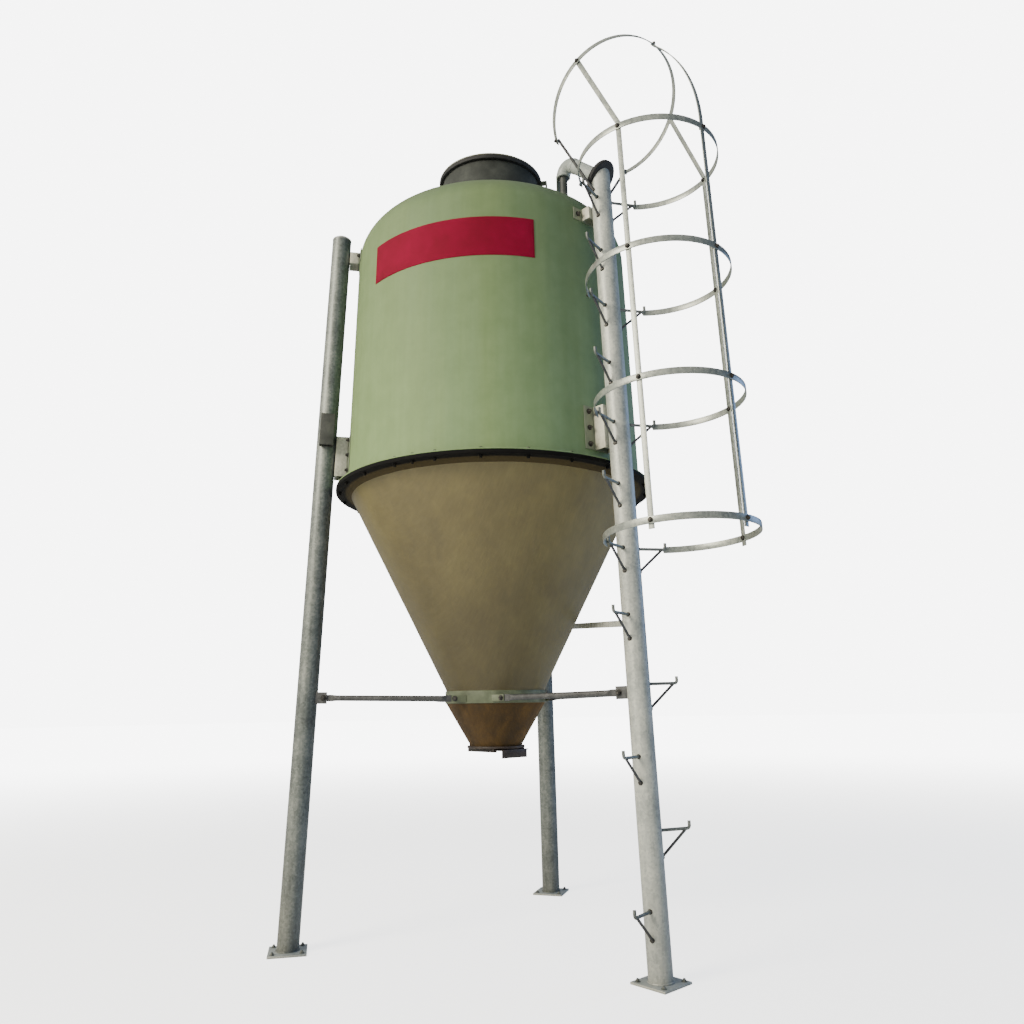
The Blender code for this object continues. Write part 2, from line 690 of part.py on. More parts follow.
def build_pocket(line, mats):
    """Open-bottomed box on the side of the left leg that faces the climbing pole."""
    near = TUBE_RADIUS + GAP
    far = near + POCKET_DEPTH
    half = POCKET_HALF_WIDTH - POCKET_WALL
    outer = solid_box((near, -POCKET_HALF_WIDTH, POCKET_LOW), (far, POCKET_HALF_WIDTH, POCKET_HIGH))
    hollow = solid_box((near + POCKET_WALL, -half, POCKET_LOW - POCKET_WALL),
                       (far - POCKET_WALL, half, POCKET_HIGH - POCKET_WALL))
    add_object("leg_pocket", difference(outer, hollow), mats["dark"], line)


def bracket_plate(low, high):
    """Plate bent along the shell's facets, over one facet on each side."""
    facet = math.tau / SIDES
    bm = bmesh.new()
    rings = []
    for a in (-facet, 0.0, facet):
        column = []
        for z, lift in ((low, GAP), (high, GAP), (high, BRACKET_WALL + GAP), (low, BRACKET_WALL + GAP)):
            r = wall_radius(z) + lift
            column.append(bm.verts.new((r * math.sin(a), -r * math.cos(a), z)))
        rings.append(column)
    for ring, following in zip(rings, rings[1:]):
        for j in range(4):
            k = (j + 1) % 4
            bm.faces.new((ring[j], ring[k], following[k], following[j]))
    bm.faces.new(rings[0])
    bm.faces.new(rings[-1])
    return finish_mesh(bm, "plate")


def bracket_channel(low, high):
    """Channel from the plate to the leg, open at its top and bottom."""
    bm = bmesh.new()
    loops = []
    for z in (low, high):
        near = wall_radius(z) + BRACKET_SINK
        far = leg_radius(z) - TUBE_RADIUS / math.cos(LEG_LEAN) - GAP
        outline = [(-BRACKET_HALF_WIDTH, near), (-BRACKET_HALF_WIDTH, far),
                   (BRACKET_HALF_WIDTH, far), (BRACKET_HALF_WIDTH, near)]
        loops.append([bm.verts.new((x, -y, z)) for x, y in outline])
        bm.faces.new(loops[-1])
    for j in range(4):
        k = (j + 1) % 4
        bm.faces.new((loops[0][j], loops[0][k], loops[1][k], loops[1][j]))
    half = BRACKET_HALF_WIDTH - BRACKET_WALL
    hollow = solid_box(
        (-half, -(leg_radius(high) - TUBE_RADIUS - BRACKET_WALL), low - 2 * BRACKET_WALL),
        (half, -(wall_radius(low) + BRACKET_WALL), high + 2 * BRACKET_WALL),
    )
    return difference(finish_mesh(bm, "channel"), hollow)


def build_brackets(bays, mats):
    """Channels welded to the legs, each on a plate that follows the shell's facets."""
    for name, bay in bays.items():
        for level, (low, high) in (("upper", UPPER_BRACKET), ("lower", LOWER_BRACKET)):
            mesh = union(bracket_plate(low, high), bracket_channel(low, high))
            add_object(f"{name}_{level}_bracket", mesh, mats["zinc"], bay)


# Safety cage
def hoop_mesh(frame, facets, radius):
    end = facets * HOOP_FACET / 2
    points = arc_points(radius / math.cos(HOOP_FACET / 2), -end, end, facets, frame)
    normal = frame.to_3x3() @ Vector((0, 0, 1))
    return swept(points, lambda i: flat_section(*HOOP_BAR), normal)


def strap_points(name):
    """From below the lowest hoop to the top level one, then over to the tilted hoop. The middle one bulges."""
    a = STRAP_ANGLES[name]
    out = Vector((math.sin(a), -math.cos(a), 0))
    inset = GAP + STRAP_BAR[0] / 2
    foot = Vector((0, -HOOP_OFFSET, 0)) + out * (HOOP_INNER - inset)
    low = step_height(HOOP_STEPS[0]) - STRAP_TAIL
    bend = foot + Vector((0, 0, step_height(HOOP_STEPS[-1]) + HOOP_BAR[1] / 2 + STEP_BEND))
    top = TOP_HOOP_RADIUS - HOOP_BAR[0] / 2 - inset - STRAP_HEAD_GAP
    b = STRAP_TOP_ANGLES[name]
    head = top_hoop_frame() @ Vector((top * math.sin(b), -top * math.cos(b), 0))
    points = [foot + Vector((0, 0, low)), bend]
    if name == "middle":
        chord = head - bend
        turn = 2 * math.atan2(-chord.dot(out), chord.z)
        radius = chord.length / (2 * math.sin(turn / 2))
        for i in range(1, STRAP_ARC_STEPS):
            angle = turn * i / STRAP_ARC_STEPS
            share = math.sin(angle) / math.sin(turn)
            inward = radius * (1 - math.cos(angle))
            points.append(bend + (chord + out * -chord.dot(out)) * share - out * inward)
    return points + [head], out


def build_cage(line, mats):
    cage = make_empty("cage_turn", line, (0, 0, 0), (0, 0, POLE_TURN))
    for level in HOOP_STEPS:
        frame = Matrix.Translation((0, -HOOP_OFFSET, step_height(level)))
        add_object(f"cage_hoop_{level:02d}", hoop_mesh(frame, HOOP_FACETS, HOOP_RADIUS), mats["steel"], cage)
    top = hoop_mesh(top_hoop_frame(), TOP_HOOP_FACETS, TOP_HOOP_RADIUS)
    add_object("cage_hoop_top", top, mats["steel"], cage)
    for name in STRAP_ANGLES:
        points, out = strap_points(name)
        mesh = swept(points, lambda i: flat_section(STRAP_BAR[1], STRAP_BAR[0]), out)
        add_object(f"cage_strap_{name}", mesh, mats["steel"], cage)


# Vent
def vent_path(start, rise):
    """Centre line of the vent: straight on from the pole's slanted head, then over a tight elbow."""
    turn = math.pi / 2 + math.atan2(rise.z, rise.y)
    middle_y = -VENT_REACH - VENT_BEND
    reach = (middle_y - VENT_BEND * math.sin(turn - math.pi / 2) - start.y) / rise.y
    middle_z = (start + rise * reach).z - VENT_BEND * math.cos(turn - math.pi / 2)
    arc = []
    for i in range(VENT_BEND_STEPS + 1):
        a = turn * (1 - i / VENT_BEND_STEPS)
        arc.append(Vector((0, middle_y + VENT_BEND * math.cos(a), middle_z + VENT_BEND * math.sin(a))))
    return arc


def build_vent(parent, mats):
    head = Matrix.Translation((0, -LEG_FOOT_RADIUS, 0)) @ Matrix.Rotation(-LEG_LEAN, 4, "X") @ mitre_frame()
    rise = head.to_3x3() @ Vector((0, 0, 1))
    arc = vent_path(head.translation, rise)
    start = head.translation + rise * GAP
    drop = Vector((0, 0, VENT_DROP_RADIUS))
    foot = Vector((0, -VENT_REACH, roof_height(VENT_REACH))) - drop

    def tube(points, radius):
        return swept(points, lambda i: round_section(radius, VENT_SIDES), (1, 0, 0))

    outer = union(tube([start, *arc], VENT_RADIUS), rod(VENT_DROP_RADIUS, foot, arc[-1] + drop, VENT_SIDES))
    last = arc[-1] + Vector((0, 0, VENT_WALL))
    inner = union(
        tube([start - rise * VENT_BEND, *arc[:-1], last], VENT_RADIUS - VENT_WALL),
        rod(VENT_DROP_RADIUS - VENT_WALL, foot - drop, arc[-1] + drop, VENT_SIDES),
    )
    add_object("vent_pipe", difference(outer, inner), mats["zinc"], parent)
    bore = tube([start - rise * VENT_BEND, start + rise * VENT_BEND], VENT_RADIUS + 2 * GAP)
    add_object("pole_sleeve", pole_sleeve(head, bore), mats["rubber"], parent)

    near = VENT_REACH - VENT_RADIUS - STRIP_BAR[1] / 2 - GAP
    lift = STRIP_BAR[1] / 2 + GAP
    points = [
        (0, -near, arc[-1].z + VENT_RADIUS / 2),
        (0, -near, roof_height(near) + VENT_RADIUS),
        (0, -near + STRIP_BAR[0], roof_height(near - STRIP_BAR[0]) + lift),
        (0, -STRIP_REACH, roof_height(STRIP_REACH) + lift),
    ]
    strip = swept(points, lambda i: flat_section(*STRIP_BAR), (0, 1, 1))
    add_object("vent_strip", strip, mats["zinc"], parent)


def pole_sleeve(head, bore):
    """Rubber ring over the pole's slanted head, with the vent pipe's bore through it."""
    bm = bmesh.new()
    thick = SLEEVE_BELOW + SLEEVE_ABOVE
    bmesh.ops.create_cone(bm, cap_ends=True, segments=TUBE_SIDES, radius1=1.0, radius2=1.0, depth=thick)
    across = TUBE_RADIUS + SLEEVE_MARGIN
    along = TUBE_RADIUS / math.cos(MITRE) + SLEEVE_MARGIN
    middle = Matrix.Translation((0, 0, thick / 2 - SLEEVE_BELOW))
    bmesh.ops.transform(bm, matrix=head @ middle @ Matrix.Diagonal((across, along, 1.0, 1.0)), verts=bm.verts)
    disc = finish_mesh(bm, "disc")
    top = head @ Matrix.Translation((0, 0, GAP))
    lean = Matrix.Translation((0, -LEG_FOOT_RADIUS, 0)) @ Matrix.Rotation(-LEG_LEAN, 4, "X")
    low = lean @ Vector((0, 0, POLE_LENGTH - 2 * CUTTER))
    high = lean @ Vector((0, 0, POLE_LENGTH + CUTTER / 2))
    pole = rod(TUBE_RADIUS + GAP, low, high)
    pole = difference(pole, solid_box((-CUTTER, -CUTTER, 0), (CUTTER, CUTTER, 2 * CUTTER), top))
    return difference(disc, pole, bore)


def build_upper_tie(bays, parent, mats):
    """Flat bar from the climbing pole to the right leg, past the cone."""
    ends = []
    for bay, z in zip((bays["front"], bays["right"]), UPPER_TIE_HEIGHTS):
        turn = Matrix.Rotation(bay.rotation_euler.z, 4, "Z")
        ends.append(turn @ Vector((0, -leg_radius(z), z)))
    along = (ends[1] - ends[0]).normalized()
    reach = TUBE_RADIUS / math.cos(LEG_LEAN) + UPPER_TIE_GAP
    points = [ends[0] + along * reach, ends[1] - along * reach]
    mesh = swept(points, lambda i: flat_section(HOOP_BAR[0], HOOP_BAR[1]), (0, 0, 1))
    add_object("upper_tie_bar", mesh, mats["steel"], parent)


def main():
    clear_scene()
    mats = {
        "green": make_material("green_gelcoat", (0.30, 0.36, 0.22), 0.45),
        "cone": make_material("bare_laminate", (0.17, 0.13, 0.06), 0.5),
        "olive": make_material("olive_lid", (0.16, 0.16, 0.12), 0.5),
        "grey": make_material("grey_laminate", (0.10, 0.11, 0.10), 0.6),
        "band": make_material("ring_steel", (0.20, 0.19, 0.13), 0.5, 0.4),
        "steel": make_material("galvanised_steel", (0.45, 0.46, 0.46), 0.45, 0.8),
        "zinc": make_material("zinc_bracket", (0.55, 0.56, 0.53), 0.5, 0.6),
        "dark": make_material("dark_painted_steel", (0.11, 0.12, 0.10), 0.6, 0.3),
        "rubber": make_material("black_rubber", (0.02, 0.02, 0.02), 0.7),
    }
    axis = make_empty("silo_axis", None, (0, AXIS_Y, 0))
    turns = {"front": 0.0, "left": math.radians(-120), "right": math.radians(120)}
    bays = {name: make_empty(name + "_bay", axis, (0, 0, 0), (0, 0, turn)) for name, turn in turns.items()}
    build_shell(axis, mats)
    build_ring(axis, bays.values(), mats)
    build_hatch(axis, mats)
    build_gate(axis, mats)
    lines = build_legs(bays, mats)
    for name, bay in bays.items():
        build_tie(f"{name}_tie_bar_left", bay, -1, mats)
        build_tie(f"{name}_tie_bar_right", bay, 1, mats)
    build_pocket(lines["left"], mats)
    build_brackets(bays, mats)
    build_cage(lines["front"], mats)
    build_vent(axis, mats)
    build_upper_tie(bays, axis, mats)
    bpy.context.view_layer.update()


main()
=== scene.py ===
"""Finished pieces and materials for a polyester silo on three tube legs, laid out as an add-on.

Everything is in metres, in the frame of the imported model. The climbing pole stands at -Y.
"""
import math

import bmesh
import bpy
from bpy.props import FloatProperty, FloatVectorProperty, IntProperty, PointerProperty
from mathutils import Matrix, Vector, noise


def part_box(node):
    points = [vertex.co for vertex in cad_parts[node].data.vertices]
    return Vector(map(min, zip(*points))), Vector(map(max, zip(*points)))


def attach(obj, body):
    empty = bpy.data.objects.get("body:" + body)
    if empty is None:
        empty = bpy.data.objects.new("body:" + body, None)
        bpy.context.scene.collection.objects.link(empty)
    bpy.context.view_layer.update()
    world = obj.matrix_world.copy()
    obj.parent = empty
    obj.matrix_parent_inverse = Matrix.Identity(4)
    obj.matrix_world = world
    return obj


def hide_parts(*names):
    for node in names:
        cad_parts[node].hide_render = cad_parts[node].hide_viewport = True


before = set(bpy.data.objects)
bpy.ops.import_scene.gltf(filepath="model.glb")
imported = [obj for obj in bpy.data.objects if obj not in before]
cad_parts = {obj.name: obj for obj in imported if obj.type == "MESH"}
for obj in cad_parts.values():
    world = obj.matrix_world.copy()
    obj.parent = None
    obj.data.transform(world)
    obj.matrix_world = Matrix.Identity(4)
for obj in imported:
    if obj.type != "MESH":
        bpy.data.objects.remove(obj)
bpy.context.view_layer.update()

bl_info = {
    "name": "Polyester Silo Dressing",
    "version": (1, 0, 0),
    "blender": (4, 5, 0),
    "location": "3D View > Sidebar > Silo",
    "description": "Finished pieces, procedural materials and a stage for a polyester silo",
    "category": "Object",
}

GAP = 0.0003
SHARP_EDGE = math.radians(35)
BEVELLED_EDGE = math.radians(30)

# Shell
FLANGE_LOW, FLANGE_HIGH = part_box("cone_flange")
AXIS_Y = (FLANGE_LOW[1] + FLANGE_HIGH[1]) / 2
FLANGE_RADIUS = (FLANGE_HIGH[0] - FLANGE_LOW[0]) / 2
SHELL_SIDES = 160
SHELL_WALL = 0.006
CONE_WALL = SHELL_WALL * 1.12
CONE_FLANGE_LOW = 2.190
CONE_FLANGE_TOP = 2.2094
BODY_FLANGE_TOP = 2.2170
BODY_FLANGE_INSET = 0.002
BODY_RADIUS = 0.785
BODY_DRAFT = 0.0252
WALL_RINGS = (2.30, 2.45, 2.6, 2.75, 2.9, 3.05, 3.2, 3.35, 3.45)
KNUCKLE_RADIUS = 0.200
KNUCKLE_START = 3.520
KNUCKLE_STEPS = 16
CROWN_SLOPE = math.radians(8)
ROOF_HOLE_RADIUS = 0.250
CONE_TOP_RADIUS = 0.7675
CONE_RINGS = 12
NECK_RADIUS = 0.2535
NECK_TOP = 1.170
NECK_JOINT = 1.130
COLLAR_FOOT = 1.104
BAND_TOP = 1.166
BAND_WALL = 0.004
BAND_SIDES = 128
OUTLET_SIDES = 96
OUTLET_RADIUS = 0.132
OUTLET_TOP = 0.895
OUTLET_FLANGE_RADIUS = 0.146
OUTLET_FLANGE_LOW = 0.883
OUTLET_BORE = 0.088

# Filling hatch
HATCH_SIDES = 112
COLLAR_RADIUS = 0.284
COLLAR_BORE = 0.276
COLLAR_TOP = 4.078
LID_RADIUS = 0.303
LID_RIM = 0.034
LID_CROWN = 0.030
LID_CROWN_POWER = 2.2
LID_SEAL = 0.023
LID_TURN = math.radians(40)
HINGE_REACH = 0.335
HINGE_HEIGHT = 4.087
HINGE_PIN = 0.006
HINGE_HALF_WIDTH = 0.028
LATCH_HALF_WIDTH = 0.020
EAR_PLACES = (-0.042, 0.034)
EAR_THICK = 0.008

# Legs and steps
PLATE_LOW, PLATE_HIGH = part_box("front_foot_plate")
LEG_FOOT_RADIUS = AXIS_Y - (PLATE_LOW[1] + PLATE_HIGH[1]) / 2
BAY_TURNS = {"front": 0.0, "left": math.radians(-120), "right": math.radians(120)}
LEG_LEAN = math.atan(0.0368)
TUBE_RADIUS = 0.0508
TUBE_BORE = 0.0468
TUBE_SIDES = 64
TUBE_RINGS = 24
LEG_LENGTH = 3.640
POLE_LENGTH = 3.765
FOOT_THICK = 0.010
FOOT_BOLT_REACH = 0.0655
FOOT_BEAD = 0.0035
POLE_TURN = math.radians(-7.5)
STEP_PITCH = 0.300
FIRST_STEP = 0.275
LEFT_STEPS = (1, 3, 5, 6, 7, 8, 9, 10, 11, 12)
RIGHT_STEPS = (2, 4, 6, 8, 10, 12)
HOOP_STEPS = (6, 8, 10, 12)
STEP_ROD = 0.007
BRACE_ROD = 0.006
STEP_ACROSS = 0.1715
STEP_FORWARD = 0.063
STEP_TIP_RISE = 0.030
STEP_BRACE_DROP = 0.105
BRACE_SETBACK = 0.020
BRACE_SUNK = 0.004
WELD_ROOT = TUBE_RADIUS - 0.002

# Cage
HOOP_OFFSET = 0.330
HOOP_BAR = (0.005, 0.030)
HOOP_HALF_SWEEP = math.radians(148.5)
HOOP_STATIONS = 96
TOP_HOOP_RADIUS = 0.337
TOP_HOOP_OFFSET = 0.147
TOP_HOOP_HEIGHT = 4.017
TOP_HOOP_TILT = math.radians(37)
TOP_HOOP_HALF_SWEEP = math.radians(139.5)
TOP_HOOP_ARM = math.radians(136)
TOP_HOOP_ARM_ROOT = 3.620
STRAP_BAR = (0.005, 0.025)
STRAP_INSET = GAP + STRAP_BAR[0] / 2
# Angle about the level hoops, then about the top hoop
STRAPS = {
    "left": (math.radians(-67), math.radians(-70)),
    "middle": (math.radians(5), math.radians(5)),
    "right": (math.radians(78), math.radians(75)),
}
STRAP_TAIL = 0.035
STRAP_ARC_STEPS = 14
HOOP_INNER = math.hypot(HOOP_OFFSET - STEP_FORWARD, STEP_ACROSS) + STEP_ROD + GAP
HOOP_RADIUS = HOOP_INNER + HOOP_BAR[0] / 2
HOOP_OUTER = HOOP_RADIUS + HOOP_BAR[0] / 2

# Ties and brackets
TIE_HEIGHT_LEG = 1.140
TIE_HEIGHT_RING = 1.128
TIE_SPREAD = math.radians(35)
TIE_ROD = 0.0135
TIE_SIDES = 24
TIE_FLAT = (0.006, 0.032)
TIE_END = 0.014
TIE_FLAT_LENGTH = 0.050
TIE_BLEND = 0.030
TIE_BLEND_STEPS = 8
LUG_HOLE_REACH = 0.030
LUG_HALF_GAP = 0.032
LEG_LUG_HEIGHT = 0.056
# Lowest and highest point of each bracket, and its rows of bolts as shares of that height
BRACKETS = {"upper": (3.490, 3.556, (0.5,)), "lower": (2.265, 2.480, (0.12, 0.5, 0.88))}
BRACKET_BOLT_ANGLE = math.radians(5.4)
BRACKET_PLATE = 0.0048

# Bolts: half width of the head, radius of the washer, length of the stud's end, height of the head
BOLTS = {
    "rivet": (0.0045, 0.0055, 0.0012, 0.003),
    "band": (0.010, 0.0135, 0.006, 0.007),
    "tie": (0.011, 0.0145, 0.007, 0.008),
    "foot": (0.008, 0.012, 0.005, 0.006),
    "cage": (0.0085, 0.011, 0.004, 0.006),
    "bracket": (0.010, 0.0135, 0.007, 0.007),
    "flange": (0.009, 0.012, 0.002, 0.006),
    "flange nut": (0.009, 0.012, 0.007, 0.007),
}
# Radius of a stud's end as a share of its length
STUD_SHARE = 0.95
# Welds: radius at the foot and at the top, height
WELDS = {"step": (0.0115, 0.008, 0.007), "brace": (0.012, 0.007, 0.008), "arm": (0.013, 0.008, 0.008)}
FLANGE_BOLT_RADIUS = (FLANGE_RADIUS + CONE_TOP_RADIUS) / 2 + 0.014
ODD_FLANGE_BOLT = math.radians(-68)

# Vent
VENT_SIDES = 40
VENT_RADIUS = 0.037
VENT_REACH = 0.595
VENT_BEND = 0.042
VENT_BEND_STEPS = 16
VENT_DROP_RADIUS = 0.021
MITRE = math.radians(45)
SLEEVE_MARGIN = 0.020
SLEEVE_BELOW = 0.018
SLEEVE_ABOVE = 0.010
STRIP_BAR = (0.004, 0.030)
STRIP_REACH = 0.500
STRIP_BEND = 0.012

# Plain red panel on the wall
PANEL_ANGLES = (math.radians(-92.6), math.radians(-25.0))
PANEL_HEIGHTS = (3.210, 3.420)
PANEL_SUNK = -0.002
PANEL_PROUD = 0.0024
PANEL_COLUMNS = 60
PANEL_ROWS = 10

# Camera fitted to the photograph, in a frame turned about the silo's axis
CAMERA_TURN = math.radians(-41.1437)
CAMERA_PLACE = (0.0, -4.3798, 1.1021)
CAMERA_YAW = 0.0225
CAMERA_PITCH = 0.2264
CAMERA_ROLL = -0.0149
CAMERA_FOCAL_PIXELS = 829.6014
IMAGE_PIXELS = 1024
SENSOR_MM = 36.0
LIGHT_AIM = 2.4


def from_photo(place):
    """A point or direction given as seen from the photograph: right, away, up."""
    return Matrix.Rotation(CAMERA_TURN, 4, "Z") @ Vector(place)


def around(radius, angle, z=0.0):
    """Point at an angle about Z, 0 at -Y and growing towards +X."""
    return Vector((radius * math.sin(angle), -radius * math.cos(angle), z))


def wall_radius(z):
    return BODY_RADIUS - BODY_DRAFT * (z - BODY_FLANGE_TOP)


def leg_radius(z):
    return LEG_FOOT_RADIUS - math.tan(LEG_LEAN) * z


def step_height(level):
    return FIRST_STEP + (level - 1) * STEP_PITCH


KNUCKLE_CENTRE = wall_radius(KNUCKLE_START) - KNUCKLE_RADIUS
HOOP_CENTRES = [Vector((0, -HOOP_OFFSET, step_height(level))) for level in HOOP_STEPS]
SUN_SIDE = from_photo((-0.75, -0.66, 0))
UP = Vector((0, 0, 1))


def roof_height(radius):
    """Outer surface of the roof crown over a radius inside the knuckle."""
    tangent = KNUCKLE_CENTRE + KNUCKLE_RADIUS * math.sin(CROWN_SLOPE)
    edge = KNUCKLE_START + KNUCKLE_RADIUS * math.cos(CROWN_SLOPE)
    return edge + (tangent - radius) * math.tan(CROWN_SLOPE)


# Frames of the object's parts
AXIS = Matrix.Translation((0, AXIS_Y, 0))
HATCH = AXIS @ Matrix.Rotation(LID_TURN, 4, "Z")
LEG_IN_BAY = Matrix.Translation((0, -LEG_FOOT_RADIUS, 0)) @ Matrix.Rotation(-LEG_LEAN, 4, "X")
BAYS = {name: AXIS @ Matrix.Rotation(turn, 4, "Z") for name, turn in BAY_TURNS.items()}
LEGS = {name: bay @ LEG_IN_BAY for name, bay in BAYS.items()}
CAGE = LEGS["front"] @ Matrix.Rotation(POLE_TURN, 4, "Z")
MITRE_PLANE = Matrix.Translation((0, 0, POLE_LENGTH - TUBE_RADIUS)) @ Matrix.Rotation(-MITRE, 4, "X")
TOP_HOOP_CENTRE = Vector((0, -TOP_HOOP_OFFSET, TOP_HOOP_HEIGHT))
TOP_HOOP = Matrix.Translation(TOP_HOOP_CENTRE) @ Matrix.Rotation(-TOP_HOOP_TILT, 4, "X")


# Nodes
def linear(colour):
    """Linear RGBA of an sRGB hex colour. A colour from the settings is linear already."""
    if not isinstance(colour, str):
        return (*colour, 1.0)
    parts = [int(colour[i:i + 2], 16) / 255 for i in (1, 3, 5)]
    return (*[c / 12.92 if c <= 0.04045 else ((c + 0.055) / 1.055) ** 2.4 for c in parts], 1.0)


def plug(tree, node, inputs):
    """Fills inputs, by name or number, with values, sockets or the first outputs of other nodes."""
    for key, value in inputs.items():
        found = (socket for socket in node.inputs if socket.enabled and socket.name == key)
        target = node.inputs[key] if isinstance(key, int) else next(found)
        if isinstance(value, bpy.types.Node):
            value = next(socket for socket in value.outputs if socket.enabled)
        if isinstance(value, bpy.types.NodeSocket):
            tree.links.new(value, target)
        else:
            target.default_value = value


def add(tree, kind, inputs=None, stops=(), **settings):
    """One node with its settings and inputs. stops fill its colour ramp."""
    node = tree.nodes.new(kind)
    for key, value in settings.items():
        setattr(node, key, value)
    for number, (position, colour) in enumerate(stops):
        elements = node.color_ramp.elements
        if number == len(elements):
            elements.new(1.0)
        elements[number].position = position
        elements[number].color = linear(colour)
    plug(tree, node, inputs or {})
    return node


# Materials
MIXED = {"data_type": "RGBA"}
MULTIPLIED = {"data_type": "RGBA", "blend_type": "MULTIPLY"}


def surface(name, metallic=0.0, ior=None):
    """New material with its tree, its shader and its Object coordinates. A metal keeps the default IOR."""
    material = bpy.data.materials.new(name)
    material.use_nodes = True
    tree = material.node_tree
    shader = tree.nodes["Principled BSDF"]
    shader.inputs["Metallic"].default_value = metallic
    if ior:
        shader.inputs["IOR"].default_value = ior
    return material, tree, shader, add(tree, "ShaderNodeTexCoord").outputs["Object"]


def upright(tree, place, squeeze):
    """Coordinates about the silo's axis with the height squeezed, so that patterns run up and down."""
    return add(tree, "ShaderNodeMapping", {
        "Vector": place, "Location": (0, -AXIS_Y, 0), "Scale": (1, 1, squeeze),
    })


def height(tree, vector):
    return add(tree, "ShaderNodeSeparateXYZ", {"Vector": vector}).outputs["Z"]


def sunward(tree):
    """1 where the surface faces the sunny side, -1 where it faces away."""
    normal = add(tree, "ShaderNodeNewGeometry").outputs["Normal"]
    return add(tree, "ShaderNodeVectorMath", {0: normal, 1: SUN_SIDE}, operation="DOT_PRODUCT")


def recoat(material, colour, first, last, position, smooth="LINEAR"):
    """Lays another colour over a material where position is below first, and none above last."""
    tree = material.node_tree
    shader = tree.nodes["Principled BSDF"]
    bare = shader.inputs["Base Color"].links[0].from_socket
    clean = add(tree, "ShaderNodeMapRange", {"Value": position, "From Min": first, "From Max": last},
                interpolation_type=smooth)
    plug(tree, shader, {
        "Base Color": add(tree, "ShaderNodeMix", {"Factor": clean, "A": linear(colour), "B": bare}, **MIXED),
    })


def from_axis(tree):
    """Distance from the silo's axis in metres."""
    flat = upright(tree, add(tree, "ShaderNodeTexCoord").outputs["Object"], 0)
    return add(tree, "ShaderNodeVectorMath", {0: flat}, operation="LENGTH")


def green_gelcoat():
    """Gelcoat from a polished mould: soft sheen, faint upright bands, a little chalk and grey-green growth,
    and painted sunlight on one side.
    """
    shell = bpy.context.scene.silo_shell
    material, tree, shader, place = surface("moulded_green_gelcoat", ior=1.52)
    tall = upright(tree, place, 0.06)
    # Bands about 300 mm wide, then streaks about 40 mm wide
    bands = add(tree, "ShaderNodeTexNoise", {"Vector": tall, "Scale": 3.2, "Detail": 2.0})
    streaks = add(tree, "ShaderNodeTexNoise", {"Vector": tall, "Scale": 24.0, "Detail": 4.0})
    mottle = add(tree, "ShaderNodeTexNoise", {"Vector": place, "Scale": 9.0, "Detail": 6.0, "Roughness": 0.6})
    # Painted light: the side towards the sun is painted yellower, for the warm sunlight on it
    toward = add(tree, "ShaderNodeVectorMath", {0: tall, 1: SUN_SIDE}, operation="DOT_PRODUCT")
    sunlit_warmth = add(tree, "ShaderNodeMapRange", {
        "Value": toward, "From Min": -BODY_RADIUS, "From Max": BODY_RADIUS,
    })
    bands_and_sunlight = add(tree, "ShaderNodeMix", {"Factor": 0.55, "A": sunlit_warmth, "B": bands})
    tone = add(tree, "ShaderNodeValToRGB", {"Fac": bands_and_sunlight},
               stops=((0.28, shell.cool_green), (0.5, shell.green), (0.72, shell.warm_green)))
    for pattern, share, stops in (
        (streaks, 0.6, ((0.35, "#F0F2EA"), (0.65, "#FFFFFF"))),
        (mottle, 0.5, ((0.38, "#E6EBDF"), (0.62, "#FFFFFF"))),
    ):
        shade = add(tree, "ShaderNodeValToRGB", {"Fac": pattern}, stops=stops)
        tone = add(tree, "ShaderNodeMix", {"Factor": share, "A": tone, "B": shade}, **MULTIPLIED)
    # Grey-green growth darkens what faces up: the roof and the flange's top
    normal = add(tree, "ShaderNodeNewGeometry").outputs["Normal"]
    up = add(tree, "ShaderNodeMapRange", {
        "Value": height(tree, normal), "From Min": 0.25, "From Max": 1.0, "To Max": 0.75,
    })
    grown_over = add(tree, "ShaderNodeMix", {"Factor": up, "A": tone, "B": linear("#5F6E52")}, **MIXED)
    # The wall is paler low down, where rain splashes and dust chalk it
    chalk = add(tree, "ShaderNodeMapRange", {
        "Value": height(tree, place), "From Min": BODY_FLANGE_TOP, "From Max": KNUCKLE_START + KNUCKLE_RADIUS,
        "To Min": 1.03, "To Max": 0.67,
    })
    # Mould waviness about 150 mm long and orange peel about 5 mm
    wave = add(tree, "ShaderNodeTexNoise", {"Vector": place, "Scale": 6.5, "Detail": 1.0})
    peel = add(tree, "ShaderNodeTexNoise", {"Vector": place, "Scale": 190.0, "Detail": 2.0})
    low = add(tree, "ShaderNodeBump", {"Height": wave, "Strength": 0.5, "Distance": 0.006})
    plug(tree, shader, {
        "Base Color": add(tree, "ShaderNodeVectorMath", {0: grown_over, "Scale": chalk}, operation="SCALE"),
        "Roughness": add(tree, "ShaderNodeMapRange", {"Value": mottle, "To Min": 0.62, "To Max": 0.80}),
        "Normal": add(tree, "ShaderNodeBump", {
            "Height": peel, "Strength": 0.15, "Distance": 0.0008, "Normal": low,
        }),
    })
    return material


